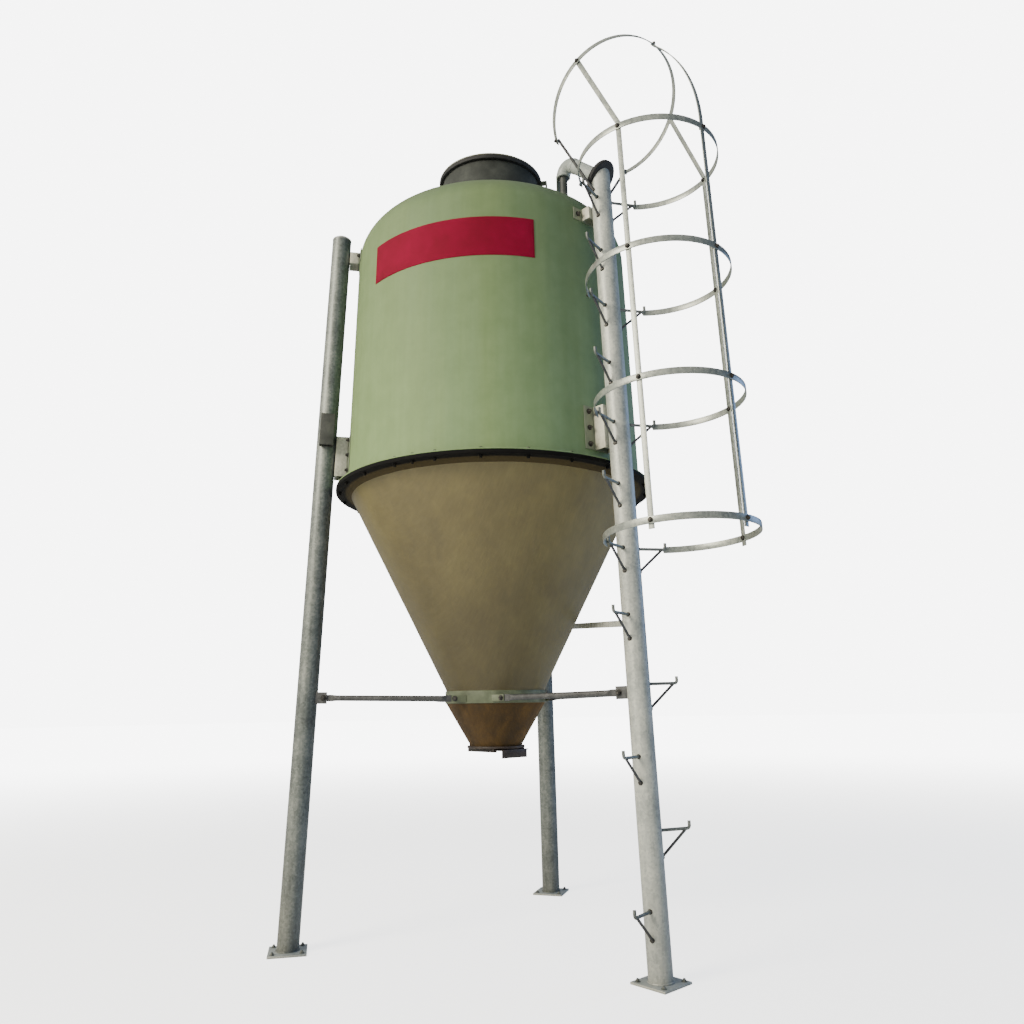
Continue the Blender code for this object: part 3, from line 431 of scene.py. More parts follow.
def laminate(name, stops, clotted, streak, squeeze, roughness):
    """Hand-laid glass mat under bare resin: mottled brown, glossy in patches, with lapped mats showing."""
    material, tree, shader, place = surface(name, ior=1.54)
    broad = add(tree, "ShaderNodeTexNoise", {"Vector": place, "Scale": 2.6, "Detail": 3.0, "Roughness": 0.55})
    clots = add(tree, "ShaderNodeTexNoise", {
        "Vector": place, "Scale": 16.0, "Detail": 7.0, "Roughness": 0.62, "Distortion": 0.9,
    })
    runs = add(tree, "ShaderNodeTexNoise", {
        "Vector": upright(tree, place, squeeze), "Scale": 15.0, "Detail": 4.0, "Distortion": 0.5,
    })
    blend = add(tree, "ShaderNodeMix", {"Factor": clotted, "A": broad, "B": clots})
    blend = add(tree, "ShaderNodeMix", {"Factor": streak, "A": blend, "B": runs})
    tone = add(tree, "ShaderNodeValToRGB", {"Fac": blend}, stops=stops)
    # Chopped strands are about 1 mm wide and 50 mm long; drawn 6 mm wide so that they show
    strands = []
    for turn in (0.5, 2.1):
        laid = add(tree, "ShaderNodeMapping", {
            "Vector": place, "Rotation": (turn, 0.35, turn), "Scale": (150.0, 18.0, 18.0),
        })
        strands.append(add(tree, "ShaderNodeTexNoise", {"Vector": laid, "Scale": 1.0, "Detail": 1.0}))
    mat = add(tree, "ShaderNodeMath", {0: strands[0], 1: strands[1]}, operation="MULTIPLY")
    fibres = add(tree, "ShaderNodeValToRGB", {"Fac": mat}, stops=((0.16, "#D9D5CC"), (0.36, "#FFFFFF")))
    woven = add(tree, "ShaderNodeMix", {"Factor": 0.22, "A": tone, "B": fibres}, **MULTIPLIED)
    # Painted light and shade: darker towards the outlet, where the light falls off, and lighter up at the
    # flange; near the outlet the side towards the sun is painted darker and the side away from it lighter
    cone = {"Value": height(tree, place), "From Min": NECK_TOP, "From Max": CONE_FLANGE_LOW}
    cone_painted_falloff = add(tree, "ShaderNodeMapRange", {**cone, "To Min": 0.82, "To Max": 1.30})
    side = add(tree, "ShaderNodeMapRange", {
        "Value": sunward(tree), "From Min": -1.0, "From Max": 1.0, "To Min": 1.6, "To Max": 0.6,
    })
    cone_painted_side_light = add(tree, "ShaderNodeMix", {"Factor": add(tree, "ShaderNodeMapRange", cone), "A": side, "B": 1.0})
    total = add(tree, "ShaderNodeMath", {0: cone_painted_falloff, 1: cone_painted_side_light}, operation="MULTIPLY")
    lumps = add(tree, "ShaderNodeBump", {"Height": blend, "Strength": 0.5, "Distance": 0.008})
    plug(tree, shader, {
        "Base Color": add(tree, "ShaderNodeVectorMath", {0: woven, "Scale": total}, operation="SCALE"),
        "Roughness": add(tree, "ShaderNodeMapRange", {
            "Value": clots, "To Min": roughness - 0.12, "To Max": roughness + 0.12,
        }),
        "Normal": add(tree, "ShaderNodeBump", {
            "Height": mat, "Strength": 0.35, "Distance": 0.0012, "Normal": lumps,
        }),
    })
    return material


def bare_laminate():
    """The cone's resin, between the two browns of the settings."""
    shell = bpy.context.scene.silo_shell
    stops = ((0.32, shell.deep_resin), (0.50, "#675E3B"), (0.68, shell.light_resin))
    return laminate("hand_laid_laminate", stops, clotted=0.25, streak=0.25, squeeze=0.25, roughness=0.50)


def coating(name, stops, roughness, scale, bump, metallic=0.0, ior=1.5):
    """Brushed or sprayed coat: mottled colour, changing gloss and a fine grain.

    scale is the number of patches in a metre.
    """
    material, tree, shader, place = surface(name, metallic, None if metallic else ior)
    broad = add(tree, "ShaderNodeTexNoise", {
        "Vector": place, "Scale": scale, "Detail": 6.0, "Roughness": 0.6,
    })
    grain = add(tree, "ShaderNodeTexNoise", {"Vector": place, "Scale": scale * 18, "Detail": 3.0})
    plug(tree, shader, {
        "Base Color": add(tree, "ShaderNodeValToRGB", {"Fac": broad}, stops=stops),
        "Roughness": add(tree, "ShaderNodeMapRange", {
            "Value": broad, "To Min": roughness - 0.1, "To Max": roughness + 0.1,
        }),
        "Normal": add(tree, "ShaderNodeBump", {"Height": grain, "Strength": 0.4, "Distance": bump}),
    })
    return material


def rim_coat():
    """Thick black sealing coat brushed over the joint's flange: nearly black, dull, a little lumpy; the black
    is partly painted shade under the flange.
    """
    stops = ((0.3, "#050504"), (0.5, "#0B0B09"), (0.75, "#151410"))
    material = coating("black_sealing_coat", stops, roughness=0.85, scale=14.0, bump=0.0012, ior=1.28)
    # The brush stopped short of the cone: thin, brownish coat inside, thick and black outside, where the
    # black is partly painted shade
    recoat(material, "#453D27", CONE_TOP_RADIUS + 0.012, CONE_TOP_RADIUS + 0.034,
           from_axis(material.node_tree), "SMOOTHSTEP")
    return material


def galvanised(name, stops, roughness, metallic):
    """Hot-dip zinc: crystal flowers about 9 mm across, grey bloom, dull runs down the tube."""
    material, tree, shader, place = surface(name, metallic)
    flowers = add(tree, "ShaderNodeTexVoronoi", {"Vector": place, "Scale": 105.0})
    grey = add(tree, "ShaderNodeRGBToBW", {"Color": flowers.outputs["Color"]})
    bloom = add(tree, "ShaderNodeTexNoise", {"Vector": place, "Scale": 9.0, "Detail": 7.0, "Roughness": 0.65})
    tall = add(tree, "ShaderNodeMapping", {"Vector": place, "Scale": (1, 1, 0.08)})
    runs = add(tree, "ShaderNodeTexNoise", {"Vector": tall, "Scale": 60.0, "Detail": 3.0})
    mixed = add(tree, "ShaderNodeMix", {"Factor": 0.35, "A": bloom, "B": runs})
    mixed = add(tree, "ShaderNodeMix", {"Factor": 0.18, "A": mixed, "B": grey})
    tone = add(tree, "ShaderNodeValToRGB", {"Fac": mixed}, stops=stops)
    # Splashed dirt on the lowest half metre
    low = add(tree, "ShaderNodeMapRange", {
        "Value": height(tree, place), "From Max": 0.55, "To Min": 0.55, "To Max": 0.0,
    })
    spots = add(tree, "ShaderNodeMath", {0: low, 1: bloom}, operation="MULTIPLY")
    dirty = add(tree, "ShaderNodeMix", {"Factor": spots, "A": tone, "B": linear("#6F675A")}, **MIXED)
    # Painted light and shade: the side towards the sun is painted pale and warm, the side away from it darker
    # and bluish
    zinc_sunlit_share = add(tree, "ShaderNodeMapRange", {"Value": sunward(tree), "From Min": -0.1, "From Max": 0.85},
                 interpolation_type="SMOOTHSTEP")
    zinc_painted_side_light = add(tree, "ShaderNodeMix", {
        "Factor": zinc_sunlit_share, "A": linear("#D3DCE2"), "B": linear("#FFFFF6"),
    }, **MIXED)
    plug(tree, shader, {
        "Base Color": add(tree, "ShaderNodeMix", {"Factor": 1.0, "A": dirty, "B": zinc_painted_side_light}, **MULTIPLIED),
        "Roughness": add(tree, "ShaderNodeMapRange", {
            "Value": mixed, "From Min": 0.3, "From Max": 0.7,
            "To Min": roughness - 0.08, "To Max": roughness + 0.14,
        }),
        "Normal": add(tree, "ShaderNodeBump", {"Height": mixed, "Strength": 0.25, "Distance": 0.0012}),
    })
    return material


def bracket_zinc():
    """Pale zinc of the brackets, green-grey on the plate that lies against the shell."""
    stops = ((0.34, "#B5B3A6"), (0.5, "#CFCCBF"), (0.66, "#E2DFD2"))
    material = galvanised("pale_zinc_bracket", stops, roughness=0.5, metallic=0.25)
    tree = material.node_tree
    level = height(tree, add(tree, "ShaderNodeTexCoord").outputs["Object"])
    off = add(tree, "ShaderNodeMath", {0: level, 1: BODY_DRAFT, 2: from_axis(tree)}, operation="MULTIPLY_ADD")
    wall = BODY_RADIUS + BODY_DRAFT * BODY_FLANGE_TOP
    recoat(material, "#7F8774", wall + 0.006, wall + 0.012, off)
    return material


# For each finish: the record's slot, what makes it, and that function's values
FINISHES = {
    "gelcoat": ("green_gelcoat", green_gelcoat, {}),
    "laminate": ("bare_laminate", bare_laminate, {}),
    # The same laminate on the lower cone: duller, browned by dust and rust water
    "stained": ("bare_laminate", laminate, {
        "name": "stained_laminate", "stops": ((0.34, "#3C2B06"), (0.5, "#573F10"), (0.66, "#765825")),
        "clotted": 0.35, "streak": 0.4, "squeeze": 0.15, "roughness": 0.85,
    }),
    # Resin and grime on the outlet's flange and gate: dark, satin
    "outlet": ("grey_laminate", laminate, {
        "name": "outlet_flange_laminate", "stops": ((0.35, "#2D231A"), (0.5, "#3E322A"), (0.65, "#574A40")),
        "clotted": 0.42, "streak": 0.2, "squeeze": 1.0, "roughness": 0.5,
    }),
    "rim": ("grey_laminate", rim_coat, {}),
    # Old green-grey paint on a steel band: dull, patchy, worn on the edges
    "ring": ("ring_steel", coating, {
        "name": "painted_ring_steel", "stops": ((0.3, "#4E5540"), (0.5, "#606850"), (0.7, "#767E66")),
        "roughness": 0.5, "scale": 12.0, "bump": 0.0006,
    }),
    # Grey topcoat on the hatch's collar: matt, with stains
    "collar": ("grey_laminate", coating, {
        "name": "grey_topcoat", "stops": ((0.3, "#242824"), (0.5, "#323632"), (0.7, "#454944")),
        "roughness": 0.75, "scale": 10.0, "bump": 0.0006,
    }),
    # Olive polyester moulding of the lid: weathered, with lichen-like patches
    "lid": ("olive_lid", coating, {
        "name": "olive_moulding", "stops": ((0.3, "#797C66"), (0.5, "#8F927D"), (0.72, "#A8AA98")),
        "roughness": 0.55, "scale": 11.0, "bump": 0.0006,
    }),
    # Dark grey enamel on the small box: matt, dusty
    "enamel": ("dark_painted_steel", coating, {
        "name": "dark_enamelled_steel", "stops": ((0.3, "#343633"), (0.5, "#434541"), (0.75, "#565853")),
        "roughness": 0.55, "scale": 18.0, "bump": 0.0004,
    }),
    # Moulded black rubber: deep, matt, with a bloom of dust
    "rubber": ("black_rubber", coating, {
        "name": "moulded_black_rubber", "stops": ((0.3, "#161717"), (0.5, "#202121"), (0.75, "#303130")),
        "roughness": 0.7, "scale": 25.0, "bump": 0.0004,
    }),
    # Polyethylene end cap: soft grey with a waxy sheen
    "cap": ("grey_plastic", coating, {
        "name": "grey_polyethylene", "stops": ((0.3, "#9A9D99"), (0.5, "#A9ACA8"), (0.7, "#B8BBB6")),
        "roughness": 0.45, "scale": 20.0, "bump": 0.0003,
    }),
    # Light grey pipe: smooth, with rain marks
    "pipe": ("zinc_bracket", coating, {
        "name": "grey_vent_pipe", "stops": ((0.3, "#8E9590"), (0.5, "#A9B0AA"), (0.7, "#BFC5BE")),
        "roughness": 0.42, "scale": 13.0, "bump": 0.0003,
    }),
    # Dark drop pipe, matt: its dark is painted shade, for the shade on the down pipe
    "drop": ("zinc_bracket", coating, {
        "name": "dark_drop_pipe", "stops": ((0.3, "#2E322F"), (0.5, "#3D413E"), (0.7, "#50544F")),
        "roughness": 0.5, "scale": 15.0, "bump": 0.0003,
    }),
    # Red enamelled sheet: evenly coloured, gone matt and slightly faded in clouds
    "red": (None, coating, {
        "name": "red_enamelled_sheet", "stops": ((0.3, "#70001F"), (0.5, "#7C0027"), (0.72, "#880430")),
        "roughness": 0.80, "scale": 5.0, "bump": 0.0002, "ior": 1.28,
    }),
    # Hot-dip zinc in four ages: pale on the pole, brighter on the cage, grey on the legs, dark on the ties,
    # whose dark is partly painted shade under the cone
    "zinc": ("galvanised_steel", galvanised, {
        "name": "hot_dip_galvanised_steel", "stops": ((0.34, "#A3A7A6"), (0.5, "#C2C5C2"), (0.66, "#DCDDD7")),
        "roughness": 0.45, "metallic": 0.25,
    }),
    "cage": ("galvanised_steel", galvanised, {
        "name": "galvanised_flat_bar", "stops": ((0.34, "#878C8B"), (0.5, "#A3A8A5"), (0.66, "#BEC1BB")),
        "roughness": 0.38, "metallic": 0.55,
    }),
    "leg": ("galvanised_steel", galvanised, {
        "name": "weathered_leg_steel", "stops": ((0.34, "#5F6464"), (0.5, "#7C8180"), (0.66, "#9A9E9B")),
        "roughness": 0.45, "metallic": 0.45,
    }),
    "tie": ("galvanised_steel", galvanised, {
        "name": "weathered_tie_steel", "stops": ((0.34, "#414244"), (0.5, "#535457"), (0.66, "#6B6B6E")),
        "roughness": 0.55, "metallic": 0.3,
    }),
    "pale": ("zinc_bracket", bracket_zinc, {}),
    # Zinc-plated bolts gone dull: dark grey with brown rust in patches
    "bolt": ("galvanised_steel", coating, {
        "name": "dull_bolt_steel", "stops": ((0.35, "#2B2A27"), (0.52, "#43423F"), (0.7, "#5F5A52")),
        "roughness": 0.5, "scale": 90.0, "bump": 0.0003, "metallic": 0.5,
    }),
}
MADE = {}


def finish(name):
    """Material of a finish, made when it is first asked for."""
    if name not in MADE:
        maker, values = FINISHES[name][1:]
        MADE[name] = maker(**values)
    return MADE[name]


# Meshes
def rounded(points, steps=4):
    """Closed outline with its corners turned into arcs. Each point is (x, y, radius)."""
    outline = []
    for i, (x, y, radius) in enumerate(points):
        here = Vector((x, y))
        if radius == 0:
            outline.append((x, y))
            continue
        back = (Vector(points[i - 1][:2]) - here).normalized()
        ahead = (Vector(points[(i + 1) % len(points)][:2]) - here).normalized()
        half = back.angle(ahead) / 2
        centre = here + (back + ahead).normalized() * radius / math.sin(half)
        first = here + back * radius / math.tan(half) - centre
        last = here + ahead * radius / math.tan(half) - centre
        turn = first.angle(last)
        for k in range(steps + 1):
            share = k / steps
            arm = first * math.sin((1 - share) * turn) + last * math.sin(share * turn)
            outline.append(tuple(centre + arm / math.sin(turn)))
    return outline


def turned(profile, sides, closed=True):
    """Solid of revolution about Z from an outline of (radius, height). Points on the axis become poles."""
    bm = bmesh.new()
    rings = []
    for radius, z in profile:
        count = sides if radius else 1
        rings.append([bm.verts.new(around(radius, math.tau * j / sides, z)) for j in range(count)])
    pairs = list(zip(rings, rings[1:]))
    if closed:
        pairs.append((rings[-1], rings[0]))
    for low, high in pairs:
        for j in range(sides):
            corners = [low[j % len(low)], low[(j + 1) % len(low)]]
            corners += [high[(j + 1) % len(high)], high[j % len(high)]]
            corners = list(dict.fromkeys(corners))
            if len(corners) > 2:
                bm.faces.new(corners)
    bmesh.ops.recalc_face_normals(bm, faces=bm.faces)
    return bm


def moulded(points, sides=SHELL_SIDES):
    """Ring-shaped solid of revolution from an outline of (radius, height, corner radius)."""
    return turned(rounded(points), sides)


def waved(bm, depth, length):
    """Pushes points in and out along their normals, in waves of about that length."""
    bm.normal_update()
    shifts = [vert.normal * noise.noise(vert.co / length) * depth for vert in bm.verts]
    for vert, shift in zip(bm.verts, shifts):
        vert.co += shift
    return bm


def swept(points, section, up=UP):
    """Bar along a path. section(i) is the outline at point i, its first axis sideways, its second up."""
    bm = bmesh.new()
    rings = []
    for i, point in enumerate(points):
        along = (points[min(i + 1, len(points) - 1)] - points[max(i - 1, 0)]).normalized()
        side = along.cross(up).normalized()
        top = side.cross(along)
        rings.append([bm.verts.new(point + side * x + top * y) for x, y in section(i)])
    count = len(rings[0])
    for ring, following in zip(rings, rings[1:]):
        for j in range(count):
            k = (j + 1) % count
            bm.faces.new((ring[j], ring[k], following[k], following[j]))
    bm.faces.new(rings[0])
    bm.faces.new(rings[-1])
    bmesh.ops.recalc_face_normals(bm, faces=bm.faces)
    return bm


def round_section(radius, sides):
    angles = [math.tau * j / sides for j in range(sides)]
    return [(radius * math.cos(a), radius * math.sin(a)) for a in angles]


def flat_section(width, thick):
    x, y, corner = width / 2, thick / 2, 0.001
    return rounded([(-x, -y, corner), (x, -y, corner), (x, y, corner), (-x, y, corner)], 2)


def softened(bm, width):
    """Rounds the sharp edges of a flat-sided solid."""
    sharp = [e for e in bm.edges if e.is_manifold and e.calc_face_angle() > BEVELLED_EDGE]
    bmesh.ops.bevel(bm, geom=sharp, offset=width, segments=2, profile=0.5, affect="EDGES", clamp_overlap=True)
    return bm


def block(low, high, width):
    """Box between two corners, with softened edges."""
    bm = bmesh.new()
    low, high = Vector(low), Vector(high)
    place = Matrix.Translation((low + high) / 2) @ Matrix.Diagonal((*(high - low), 1.0))
    bmesh.ops.create_cube(bm, size=1.0, matrix=place)
    return softened(bm, width)


def plate(outline, x, thick):
    """Flat plate with an outline of (y, z), from x on."""
    bm = bmesh.new()
    face = bm.faces.new([bm.verts.new((x, y, z)) for y, z in outline])
    raised = bmesh.ops.extrude_face_region(bm, geom=[face])["geom"]
    tops = [item for item in raised if isinstance(item, bmesh.types.BMVert)]
    bmesh.ops.translate(bm, verts=tops, vec=(thick, 0, 0))
    bmesh.ops.recalc_face_normals(bm, faces=bm.faces)
    return bm


def moved(bm, matrix):
    bmesh.ops.transform(bm, matrix=matrix, verts=bm.verts)
    return bm


def joined(parts):
    """One bmesh of several, each a bmesh or a mesh. The parts are used up."""
    whole = bmesh.new()
    for part in parts:
        mesh = part
        if isinstance(part, bmesh.types.BMesh):
            mesh = bpy.data.meshes.new("part")
            part.to_mesh(mesh)
            part.free()
        whole.from_mesh(mesh)
        bpy.data.meshes.remove(mesh)
    return whole


def piece(name, coat, parts, place, *nodes, body="frame"):
    """Finished object at the origin, with its material and its body; the CAD nodes it stands for are hidden.
    """
    bm = moved(joined(parts), place)
    for face in bm.faces:
        face.smooth = True
        face.material_index = 0
    mesh = bpy.data.meshes.new(name)
    bm.to_mesh(mesh)
    bm.free()
    mesh.set_sharp_from_angle(angle=SHARP_EDGE)
    mesh.materials.append(finish(coat))
    obj = bpy.data.objects.new(name, mesh)
    bpy.context.scene.collection.objects.link(obj)
    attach(obj, body)
    if nodes:
        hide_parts(*nodes)


def dressed(name, coat, node, width, body="frame"):
    """Finished piece from a merged and edge-rounded copy of a flat-sided CAD node."""
    bm = bmesh.new()
    bm.from_mesh(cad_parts[node].data)
    bmesh.ops.remove_doubles(bm, verts=bm.verts, dist=0.00002)
    bmesh.ops.dissolve_limit(bm, angle_limit=math.radians(1), verts=bm.verts, edges=bm.edges)
    piece(name, coat, [softened(bm, width)], Matrix(), node, body=body)


# Geometry Nodes
def growing_tree(name, **inputs):
    """Geometry tree with named inputs. Underscores in the names stand for spaces."""
    tree = bpy.data.node_groups.new(name, "GeometryNodeTree")
    for way in ("OUTPUT", "INPUT"):
        tree.interface.new_socket("Geometry", in_out=way, socket_type="NodeSocketGeometry")
    for label, value in inputs.items():
        kind = "NodeSocketInt" if isinstance(value, int) else "NodeSocketFloat"
        socket = tree.interface.new_socket(label.replace("_", " "), in_out="INPUT", socket_type=kind)
        socket.default_value = value
    tree.interface.new_socket("Material", in_out="INPUT", socket_type="NodeSocketMaterial")
    return tree, add(tree, "NodeGroupInput").outputs


def end_tree(tree, geometry, given):
    real = add(tree, "GeometryNodeRealizeInstances", {"Geometry": geometry})
    painted = add(tree, "GeometryNodeSetMaterial", {"Geometry": real, "Material": given["Material"]})
    add(tree, "NodeGroupOutput", {0: painted})
    return tree


def bent_path(tree, given):
    """Curve through the edges of the base mesh, with its corners bent."""
    path = add(tree, "GeometryNodeMeshToCurve", {"Mesh": given["Geometry"]})
    return add(tree, "GeometryNodeFilletCurve", {
        "Curve": path, "Count": 5, "Radius": given["Bend"], "Limit Radius": True,
    }, mode="POLY")


def along_axis(tree):
    """Turn that stands something on the axis that each point carries."""
    axis = add(tree, "GeometryNodeInputNamedAttribute", {"Name": "axis"}, data_type="FLOAT_VECTOR")
    return add(tree, "FunctionNodeAlignRotationToVector", {"Vector": axis}, axis="Z")


def flat_bar_tree():
    """Flat bar with rounded edges along paths that lie in the XY plane, its width along Z."""
    tree, given = growing_tree("flat_bar", Thickness=0.005, Width=0.030, Edge=0.0012, Bend=0.0)
    stood = add(tree, "GeometryNodeSetCurveNormal", {"Curve": bent_path(tree, given)}, mode="Z_UP")
    profile = add(tree, "GeometryNodeCurvePrimitiveQuadrilateral", {
        "Width": given["Thickness"], "Height": given["Width"],
    })
    edged = add(tree, "GeometryNodeFilletCurve", {
        "Curve": profile, "Count": 2, "Radius": given["Edge"], "Limit Radius": True,
    }, mode="POLY")
    bar = add(tree, "GeometryNodeCurveToMesh", {"Curve": stood, "Profile Curve": edged, "Fill Caps": True})
    return end_tree(tree, bar, given)


def rod_tree():
    """Round rod along paths, with its corners bent."""
    tree, given = growing_tree("round_rod", Radius=0.007, Bend=0.012, Sides=14)
    profile = add(tree, "GeometryNodeCurvePrimitiveCircle", {
        "Resolution": given["Sides"], "Radius": given["Radius"],
    })
    rod = add(tree, "GeometryNodeCurveToMesh", {
        "Curve": bent_path(tree, given), "Profile Curve": profile, "Fill Caps": True,
    })
    return end_tree(tree, rod, given)


def bolt_tree():
    """Hexagon bolts on points: washer, chamfered head and a stud end, each spun by a seeded angle."""
    tree, given = growing_tree("hexagon_bolt", Head=0.0075, Height=0.0053, Washer=0.010, Washer_Height=0.0016,
                               Stud=0.004, Stud_Length=0.004, Seed=3)
    half_washer = add(tree, "ShaderNodeMath", {0: given["Washer Height"], 1: 0.5}, operation="MULTIPLY")
    half_head = add(tree, "ShaderNodeMath", {0: given["Height"], 1: 0.5, 2: given["Washer Height"]},
                    operation="MULTIPLY_ADD")
    top = add(tree, "ShaderNodeMath", {0: given["Height"], 1: given["Washer Height"]}, operation="ADD")
    end = add(tree, "ShaderNodeMath", {0: given["Stud Length"], 1: 0.5, 2: top}, operation="MULTIPLY_ADD")
    chamfer = add(tree, "ShaderNodeMath", {0: given["Head"], 1: 0.80}, operation="MULTIPLY")
    chamfer_depth = add(tree, "ShaderNodeMath", {0: given["Height"], 1: 0.18}, operation="MULTIPLY")
    washer = add(tree, "GeometryNodeMeshCylinder", {
        "Vertices": 20, "Radius": given["Washer"], "Depth": given["Washer Height"],
    })
    head = add(tree, "GeometryNodeMeshCylinder", {
        "Vertices": 6, "Radius": given["Head"], "Depth": given["Height"],
    })
    cap = add(tree, "GeometryNodeMeshCone", {
        "Vertices": 6, "Radius Bottom": given["Head"], "Radius Top": chamfer, "Depth": chamfer_depth,
    })
    stud = add(tree, "GeometryNodeMeshCylinder", {
        "Vertices": 10, "Radius": given["Stud"], "Depth": given["Stud Length"],
    })
    bolt = add(tree, "GeometryNodeJoinGeometry")
    for shape, level in ((washer, half_washer), (head, half_head), (cap, top), (stud, end)):
        lift = add(tree, "ShaderNodeCombineXYZ", {"Z": level})
        lifted = add(tree, "GeometryNodeTransform", {"Geometry": shape, "Translation": lift})
        plug(tree, bolt, {"Geometry": lifted})
    spin = add(tree, "FunctionNodeRandomValue", {
        "Min": (0, 0, 0), "Max": (0, 0, math.tau), "Seed": given["Seed"],
    }, data_type="FLOAT_VECTOR")
    turn = add(tree, "FunctionNodeEulerToRotation", {"Euler": spin})
    spun = add(tree, "FunctionNodeRotateRotation", {"Rotation": along_axis(tree), "Rotate By": turn},
               rotation_space="LOCAL")
    copies = add(tree, "GeometryNodeInstanceOnPoints", {
        "Points": given["Geometry"], "Instance": bolt, "Rotation": spun,
    })
    return end_tree(tree, copies, given)


def weld_tree():
    """Weld collars on points: low cones round the root of a rod, along the point's axis."""
    tree, given = growing_tree("weld_collar", Foot=0.012, Top=0.008, Rise=0.006)
    collar = add(tree, "GeometryNodeMeshCone", {
        "Vertices": 16, "Radius Bottom": given["Foot"], "Radius Top": given["Top"], "Depth": given["Rise"],
    })
    copies = add(tree, "GeometryNodeInstanceOnPoints", {
        "Points": given["Geometry"], "Instance": collar, "Rotation": along_axis(tree),
    })
    return end_tree(tree, copies, given)


TREES = {}


def grown(maker, base, coat, **values):
    """Plain mesh that a tree makes on a base mesh. Underscores in the names stand for spaces."""
    if maker not in TREES:
        TREES[maker] = maker()
    tree = TREES[maker]
    obj = bpy.data.objects.new("grower", base)
    bpy.context.scene.collection.objects.link(obj)
    modifier = obj.modifiers.new("grow", "NODES")
    modifier.node_group = tree
    values["Material"] = finish(coat)
    for item in tree.interface.items_tree:
        label = item.name.replace(" ", "_")
        if item.in_out == "INPUT" and label in values:
            modifier[item.identifier] = values[label]
    mesh = bpy.data.meshes.new_from_object(obj.evaluated_get(bpy.context.evaluated_depsgraph_get()))
    bpy.data.objects.remove(obj, do_unlink=True)
    return mesh


def path_mesh(paths):
    """Mesh of edges only, one run of edges per path."""
    verts, edges = [], []
    for path in paths:
        first = len(verts)
        verts += [tuple(point) for point in path]
        edges += [(i, i + 1) for i in range(first, len(verts) - 1)]
    mesh = bpy.data.meshes.new("paths")
    mesh.from_pydata(verts, edges, [])
    return mesh


def point_mesh(points):
    """Mesh of single points, each with the axis that what stands on it follows. points are (place, axis)."""
    mesh = bpy.data.meshes.new("points")
    mesh.from_pydata([tuple(place) for place, axis in points], [], [])
    axes = mesh.attributes.new("axis", "FLOAT_VECTOR", "POINT")
    for item, (place, axis) in zip(axes.data, points):
        item.vector = Vector(axis).normalized()
    return mesh


def flat_bars(coat, bar, bend, *paths):
    return grown(flat_bar_tree, path_mesh(paths), coat, Thickness=bar[0], Width=bar[1], Bend=bend)


def rods(coat, radius, bend, *paths):
    return grown(rod_tree, path_mesh(paths), coat, Radius=radius, Bend=bend)


def bolts(size, points, coat="bolt"):
    head, washer, stud, tall = BOLTS[size]
    return grown(bolt_tree, point_mesh(points), coat, Head=head, Height=tall, Washer=washer,
                 Stud=stud * STUD_SHARE, Stud_Length=stud)


def welds(size, points):
    foot, top, rise = WELDS[size]
    return grown(weld_tree, point_mesh(points), "zinc", Foot=foot, Top=top, Rise=rise)


# Shell
def build_bell(shell):
    foot = CONE_FLANGE_TOP + GAP
    rim = FLANGE_RADIUS - BODY_FLANGE_INSET
    arc = [i / KNUCKLE_STEPS * (math.pi / 2 - CROWN_SLOPE) for i in range(KNUCKLE_STEPS + 1)]
    outer, inner = [
        [(KNUCKLE_CENTRE + radius * math.cos(a), KNUCKLE_START + radius * math.sin(a), 0) for a in arc]
        for radius in (KNUCKLE_RADIUS, KNUCKLE_RADIUS - SHELL_WALL)
    ]
    hole = roof_height(ROOF_HOLE_RADIUS)
    bell = moulded([
        (wall_radius(foot) - SHELL_WALL, foot, 0), (rim, foot, 0.002), (rim, BODY_FLANGE_TOP, 0.002),
        (wall_radius(BODY_FLANGE_TOP), BODY_FLANGE_TOP, 0.010), *[(wall_radius(z), z, 0) for z in WALL_RINGS],
        *outer, (ROOF_HOLE_RADIUS, hole, 0.002), (ROOF_HOLE_RADIUS, hole - SHELL_WALL, 0), *inner[::-1],
    ])
    nodes = ("body_shell", "body_flange", "roof_dome")
    piece("bell", "gelcoat", [waved(bell, shell.waviness, length=0.22)], AXIS, *nodes)


def build_cone(shell):
    levels = [NECK_TOP + (CONE_FLANGE_LOW - NECK_TOP) * i / CONE_RINGS for i in range(1, CONE_RINGS)]
    slope = (CONE_TOP_RADIUS - NECK_RADIUS) / (CONE_FLANGE_LOW - NECK_TOP)
    cone = moulded([
        (NECK_RADIUS, NECK_JOINT + GAP, 0), (NECK_RADIUS, NECK_TOP, 0.030),
        *[(NECK_RADIUS + (z - NECK_TOP) * slope, z, 0) for z in levels],
        (CONE_TOP_RADIUS, CONE_FLANGE_LOW, 0.012), (CONE_TOP_RADIUS, CONE_FLANGE_TOP, 0),
        (CONE_TOP_RADIUS - CONE_WALL, CONE_FLANGE_TOP, 0), (CONE_TOP_RADIUS - CONE_WALL, CONE_FLANGE_LOW, 0),
        (NECK_RADIUS - SHELL_WALL, NECK_TOP, 0), (NECK_RADIUS - SHELL_WALL, NECK_JOINT + GAP, 0),
    ])
    piece("cone", "laminate", [waved(cone, 2 * shell.waviness, length=0.12)], AXIS, "cone_shell")
    rim = moulded([
        (CONE_TOP_RADIUS - 0.002, CONE_FLANGE_LOW, 0), (FLANGE_RADIUS, CONE_FLANGE_LOW, 0.004),
        (FLANGE_RADIUS, CONE_FLANGE_TOP, 0.002), (CONE_TOP_RADIUS - 0.002, CONE_FLANGE_TOP, 0),
    ])
    # Offsets of the sealing fillet from the corner under the flange
    fillet = [(-0.016, -0.022), (0.004, -0.010), (0.014, 0.002), (-0.004, 0.002)]
    bead = turned([(CONE_TOP_RADIUS + out, CONE_FLANGE_LOW + up) for out, up in fillet], SHELL_SIDES)
    piece("joint_rim", "rim", [rim, waved(bead, shell.waviness, length=0.05)], AXIS, "cone_flange")


